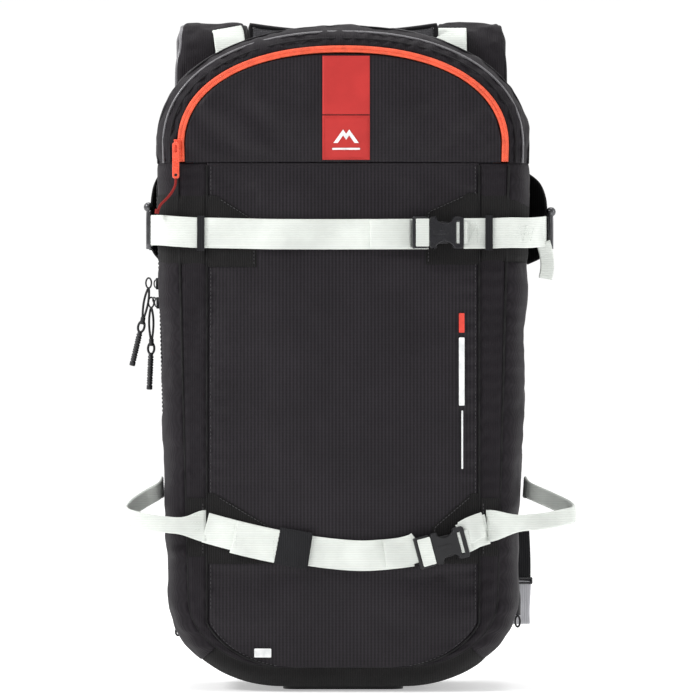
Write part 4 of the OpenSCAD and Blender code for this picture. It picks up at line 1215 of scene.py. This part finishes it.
def build_back():
    for s, word in SIDES:
        x0, x1 = sorted((s * 22, s * 78))
        pillow(f"back_pad_{word}", x0, x1, 150, lambda X: 425 + 0 * X, 12.5, M_MESH, 3.0, "back_pads",
               (215, 285, 355))
    pillow("lumbar_cushion", -86, 86, 42, lambda X: 128 + 0 * X, 16.5, M_MESH, 4.0, "lumbar_pad")
    pillow("yoke_cushion", -79, 79, 436, lambda X: 552 + 6.5 * (X / 79) ** 2, 11.5, M_MESH_FINE, 3.0,
           "yoke_pad", (470,))
    route = [(-30, 78, 534), (-30, 79.5, 505), (-18, 80.5, 488), (18, 80.5, 488), (30, 79.5, 505),
             (30, 78, 534)]
    sweep("haul_loop_webbing", spline(route, 8), (0, 1, 0.05), tape_section(3.4, 12.0, 0.0)[::-1], M_TAPE,
          body="haul_loop", stands_for="haul_loop")


def build_sternum():
    """The chest strap on its two runners, with its buckle closed."""
    body = {"body": "sternum_strap"}
    strap = {"stands_for": "sternum_strap", **body}
    block = [rounded_rect(-8.6, 8.6, -14.6, 14.6, 2.4), rounded_rect(-5.6, 5.6, -10.6, -6.6, 0.8),
             rounded_rect(-5.6, 5.6, 6.6, 10.6, 0.8)]
    for word, x in (("left", -95), ("right", 91)):
        flat_shape(f"sternum_runner_{word}", block, 4.6, 1.0, M_BUCKLE, shift(x, 120, 395), **strap)
    left = [(-90, 121.6, 395), (-70, 120.6, 394.4), (-45, 120.2, 393.8), (-18, 120, 394.6)]
    right = [(18, 120, 394.6), (42, 120.2, 393.8), (66, 120.6, 394.4), (86, 121.6, 395)]
    tail = [(20, 122.4, 394.6), (34, 122.9, 394), (50, 122.7, 392), (63, 122.9, 388)]
    webbing("sternum_webbing_left", left, UPRIGHT, 20.0, 1.6, **strap)
    webbing("sternum_webbing_right", right, UPRIGHT, 20.0, 1.6, **strap)
    webbing("sternum_tail", tail, UPRIGHT, 18.5, 1.3, **body)
    socket = [rounded_rect(-19.4, 1.6, -11.4, 11.4, 3.2), rounded_rect(-16.6, -14.2, -8.6, 8.6, 0.8)]
    plug = [rounded_rect(2.6, 19.4, -10.6, 10.6, 2.6), rounded_rect(13.8, 16.4, -8.6, 8.6, 0.8)]
    for word, loops, depth in (("socket", socket, 7.4), ("plug", plug, 6.0)):
        flat_shape(f"sternum_{word}", loops, depth, 1.4, M_BUCKLE, shift(0, 120, 395),
                   stands_for="sternum_buckle", **body)
    flat_shape("sternum_latch", [rounded_rect(-11, 9, -3.4, 3.4, 2.6)], 2.0, 0.6, M_GRIP,
               shift(0, 123.4, 395), **body)


def build_trigger():
    """Sleeve on the left shoulder strap that stows the trigger, and the trigger's grip."""
    pocket = {"slot": "patch_fabric", "stands_for": "trigger_pocket"}
    sleeve = [rounded_rect(-134.6, -87.4, 250.4, 334.6, 5.0)]
    for k, (y, depth) in enumerate(((118.3, 1.8), (128.6, 2.2))):
        flat_shape(f"trigger_sleeve_{k}", sleeve, depth, 0.6, M_PATCH, shift(0, y, 0), **pocket)
    for k, x in enumerate((-131.0, -91.0)):
        wall = [rounded_rect(x - 3.4, x + 3.4, 252, 334, 2.0)]
        flat_shape(f"trigger_sleeve_wall_{k}", wall, 9.6, 0.8, M_PATCH, shift(0, 123.6, 0), **pocket)
    rim = [(-132, 253), (-90, 253), (-90, 332), (-132, 332), (-132, 253)]
    stitched_outline("trigger_sleeve_stitch", rim, lambda x, z: stack(x, 129.8, z), ALONG_Y,
                     slot="patch_fabric")
    grip = {"body": "trigger_handle", "stands_for": "trigger_handle"}
    middle = shift(0, 123.5, 0)
    flat_shape("trigger_stem", [rounded_rect(-125.6, -96.4, 243, 313.6, 5.0)], 5.4, 1.2, M_GRIP, middle,
               **grip)
    ring = [rounded_rect(-142.8, -79.2, 203.2, 244.8, 14.0, 10),
            rounded_rect(-133.6, -88.4, 213.4, 234.6, 9.5, 10)]
    flat_shape("trigger_grip", ring, 9.4, 3.4, M_GRIP, middle, **grip)
    for k in range(7):
        x = -127 + k * 5.3
        rib = [(x, 128.5, 206.6), (x, 127.8, 208.4), (x, 128.5, 210.4)]
        cordage(f"trigger_rib_{k}", rib, 0.8, M_GRIP, ALONG_X, body="trigger_handle")


# Routes in (x, y) of the right wing and of its webbing; the left one mirrors them
WING_ROUTE = [(92, 74), (112, 76), (130, 86), (140, 104), (141, 128), (134, 152)]
TAIL_ROUTE = [(133.6, 152.6), (125, 172), (110, 181), (92, 184), (76, 184)]
BELT_Z, BELT_Y = 85, 184.5


def wing_width(q, tucked=1.0):
    """Width of a hip wing from its root (q = 0) to its end (q = 1). Its shell isn't tucked in at the root."""
    return 66 - 22 * float(smooth(q, 0.55, 1.0)) - 6 * tucked * (1 - float(smooth(q, 0.0, 0.15)))


def build_hip(word, s):
    body = f"hip_wing_{word}"
    path = spline([(s * x, y, BELT_Z) for x, y in WING_ROUTE], 10)
    half = np.array([wing_width(q) for q in np.linspace(0, 1, len(path))]) / 2
    pad = sweep(body + "_pad", path, UPRIGHT, lambda q: lens_section(wing_width(q), 9.6), M_MESH, body=body,
                stands_for=body)
    fill_out(pad, sewn_strip(path, half, 2, BELT_Z, ends=2), 1.6)
    k = frames(path, UPRIGHT)[1]
    outward = math.copysign(7.0, s * k[20][0])
    sweep(body + "_shell", path + k * outward, UPRIGHT,
          lambda q: tape_section(wing_width(q, 0.0) - 9, 1.4, 0.05), M_SHELL, body=body)
    for j, sign in enumerate((-1, 1)):
        cordage(f"{body}_binding_{j}", path + np.outer(sign * (half - 1.0), UPRIGHT), 2.4, M_BINDING, UPRIGHT,
                body=body)
    webbing(body + "_tail", [(s * x, y, BELT_Z) for x, y in TAIL_ROUTE], UPRIGHT, 38.0, 2.0, 8, body=body)
    x0, x1 = (-76, -36) if s < 0 else (46, 76)
    loops = [rounded_rect(x0 + 0.6, x1 - 0.6, 63.6, 106.4, 6.0)]
    loops += [rounded_rect(s * x - slit, s * x + slit, 66.5, 103.5, 1.2)
              for x, slit in ((70, 1.6), (63, 1.4))]
    flat_shape(f"hip_buckle_{word}_frame", loops, 8.4, 1.8, M_BUCKLE, shift(0, BELT_Y, 0), body=body,
               stands_for=f"hip_buckle_{word}")


def build_hip_prongs():
    """The plug's prongs, on the right wing's buckle half."""
    for j, dz in enumerate((-13, 0, 13)):
        prong = rounded_rect(40 if dz else 36, 48, BELT_Z + dz - 2.6, BELT_Z + dz + 2.6, 1.6)
        flat_shape(f"hip_prong_{j}", [prong], 4.4, 1.0, M_BUCKLE, shift(0, BELT_Y, 0), body="hip_wing_right")


def build_gear_strap():
    """A black strap end with a grey one below it, on the right wing."""
    strap = {"body": "hip_wing_right", "stands_for": "hip_gear_strap"}
    top = [(153.4, 112, 127), (154.2, 112, 112), (154.6, 112, 98), (154.6, 112, 82)]
    low = [(154.6, 112, 83), (154.0, 112, 70), (153.4, 112, 58), (153.6, 112, 45.6)]
    webbing("gear_strap_black", top, ALONG_X, 13.6, 1.9, 8, **strap)
    webbing("gear_strap_grey", low, ALONG_X, 14.6, 2.1, 8, M_GREY, **strap)
    bar = [rounded_rect(-8.4, 8.4, -3.0, 3.0, 1.0), rounded_rect(-6.4, 6.4, -1.0, 1.0, 0.5)]
    flat_shape("gear_strap_bar", bar, 3.6, 0.7, M_BUCKLE, shift(154.6, 112, 83), body="hip_wing_right")


# ---------------------------------------------------------------- inside the pack


def build_airbag():
    """The folded airbag in its arched pocket, and the lining between it and the compartment."""
    u = np.linspace(-1, 1, 40)

    def section(s):
        w = 3.2 + 0.6 * math.sin(s * 60)
        pleats = [(44 * a, 8.6 + 0.7 * math.sin(a * 9 * w)) for a in u]
        return pleats + [(44 * a, -8.2 + math.sin(a * 26 + s * 5)) for a in u[::-1]]
    sweep("airbag_folded", outline_path(3, HINGE_S, 21, -5, 160), ALONG_Y, section, M_BAG,
          stands_for="airbag")
    sweep("airbag_pocket_lining", outline_path(3, HINGE_S, 31.2, -5, 120), ALONG_Y,
          tape_section(94.0, 1.0, 0.0), M_LINING)


def build_hose():
    """The ribbed charging hose."""
    route = [(84.6, 14, 300), (76, 13, 301), (72, 8, 318), (80, 0, 352), (108, -6, 392), (134, -6, 416),
             (134, -6, 435)]
    line = spline(route, 60)
    total = run_of(line)[-1]

    def section(s):
        r = 8.5 + 0.45 * math.cos(2 * math.pi * s * total / 3.2)
        return round_section(r, r, 16)
    sweep("hose_ribbed", line, ALONG_Y, section, M_HOSE, stands_for="inflation_hose")


def finish_cad_parts():
    """Materials, and a small bevel, for the hard CAD pieces that are seen as they are."""
    for node, mat in (("gas_cartridge", M_STEEL), ("inflator_head", M_MATT), ("firing_pin", M_STEEL),
                      ("frame_sheet", M_BOARD), ("frame_stays", M_STEEL), ("trigger_cable", M_HOSE),
                      ("base_patch", M_MATT)):
        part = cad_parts[node]
        part.data.materials.clear()
        part.data.materials.append(mat)
        if node != "base_patch":
            bevel = part.modifiers.new("bevel", "BEVEL")
            bevel.width = 0.4 * MM
            bevel.segments = 2
            bevel.limit_method = "ANGLE"
            bevel.angle_limit = math.radians(40)
            bevel.harden_normals = True


build_main_pull()
build_side_zip()
build_corner_pulls()
build_shoulder_strap("left", -111)
build_shoulder_strap("right", 107)
build_lifters()
build_strap_webbing()
build_back()
build_sternum()
build_trigger()
build_hip("left", -1)
build_hip("right", 1)
build_hip_prongs()
build_gear_strap()
build_airbag()
build_hose()
finish_cad_parts()

# ---------------------------------------------------------------- floor and light


def area_light(name, place, aim, size, power):
    data = bpy.data.lights.new(name, "AREA")
    data.size = size
    data.energy = power
    lamp = bpy.data.objects.new(name, data)
    lamp.location = place
    lamp.rotation_euler = (Vector(aim) - Vector(place)).to_track_quat("-Z", "Y").to_euler()
    COL.objects.link(lamp)


def lay_floor():
    m = Nodes("floor", rough=0.9)
    m.set("Base Color", (0.88, 0.88, 0.88, 1))
    m.set("Emission Color", (1.0, 1.0, 1.0, 1))
    m.set("Emission Strength", 0.4)
    half = 14.0
    mesh = bpy.data.meshes.new("floor")
    corners = [(-half, -half, 0), (half, -half, 0), (half, half, 0), (-half, half, 0)]
    mesh.from_pydata(corners, [], [(0, 1, 2, 3)])
    mesh.materials.append(m.mat)
    floor = bpy.data.objects.new("floor", mesh)
    COL.objects.link(floor)


def light_world():
    """White behind the pack, dimmer in front of it, so that its dark cloth keeps its depth."""
    world = bpy.data.worlds.new("studio")
    bpy.context.scene.world = world
    world.use_nodes = True
    tree = world.node_tree
    back = tree.nodes["Background"]
    split = tree.nodes.new("ShaderNodeSeparateXYZ")
    ramp = tree.nodes.new("ShaderNodeMapRange")
    tree.links.new(tree.nodes.new("ShaderNodeTexCoord").outputs["Generated"], split.inputs[0])
    tree.links.new(split.outputs["Y"], ramp.inputs["Value"])
    for socket, value in (("From Min", -1.0), ("From Max", 0.1), ("To Min", 0.14), ("To Max", 1.02)):
        ramp.inputs[socket].default_value = value
    tree.links.new(ramp.outputs["Result"], back.inputs["Strength"])
    back.inputs["Color"].default_value = (1.0, 1.0, 1.0, 1)


lay_floor()
light_world()
area_light("key", (-1.8, -0.9, 1.7), (0, 0, 0.3), 0.6, 32)
area_light("side", (2.1, -0.7, 0.8), (0, 0, 0.3), 0.6, 8)
area_light("top", (0.0, 0.2, 2.6), (0, 0, 0.2), 1.6, 30)
bpy.context.scene.view_settings.view_transform = "Standard"
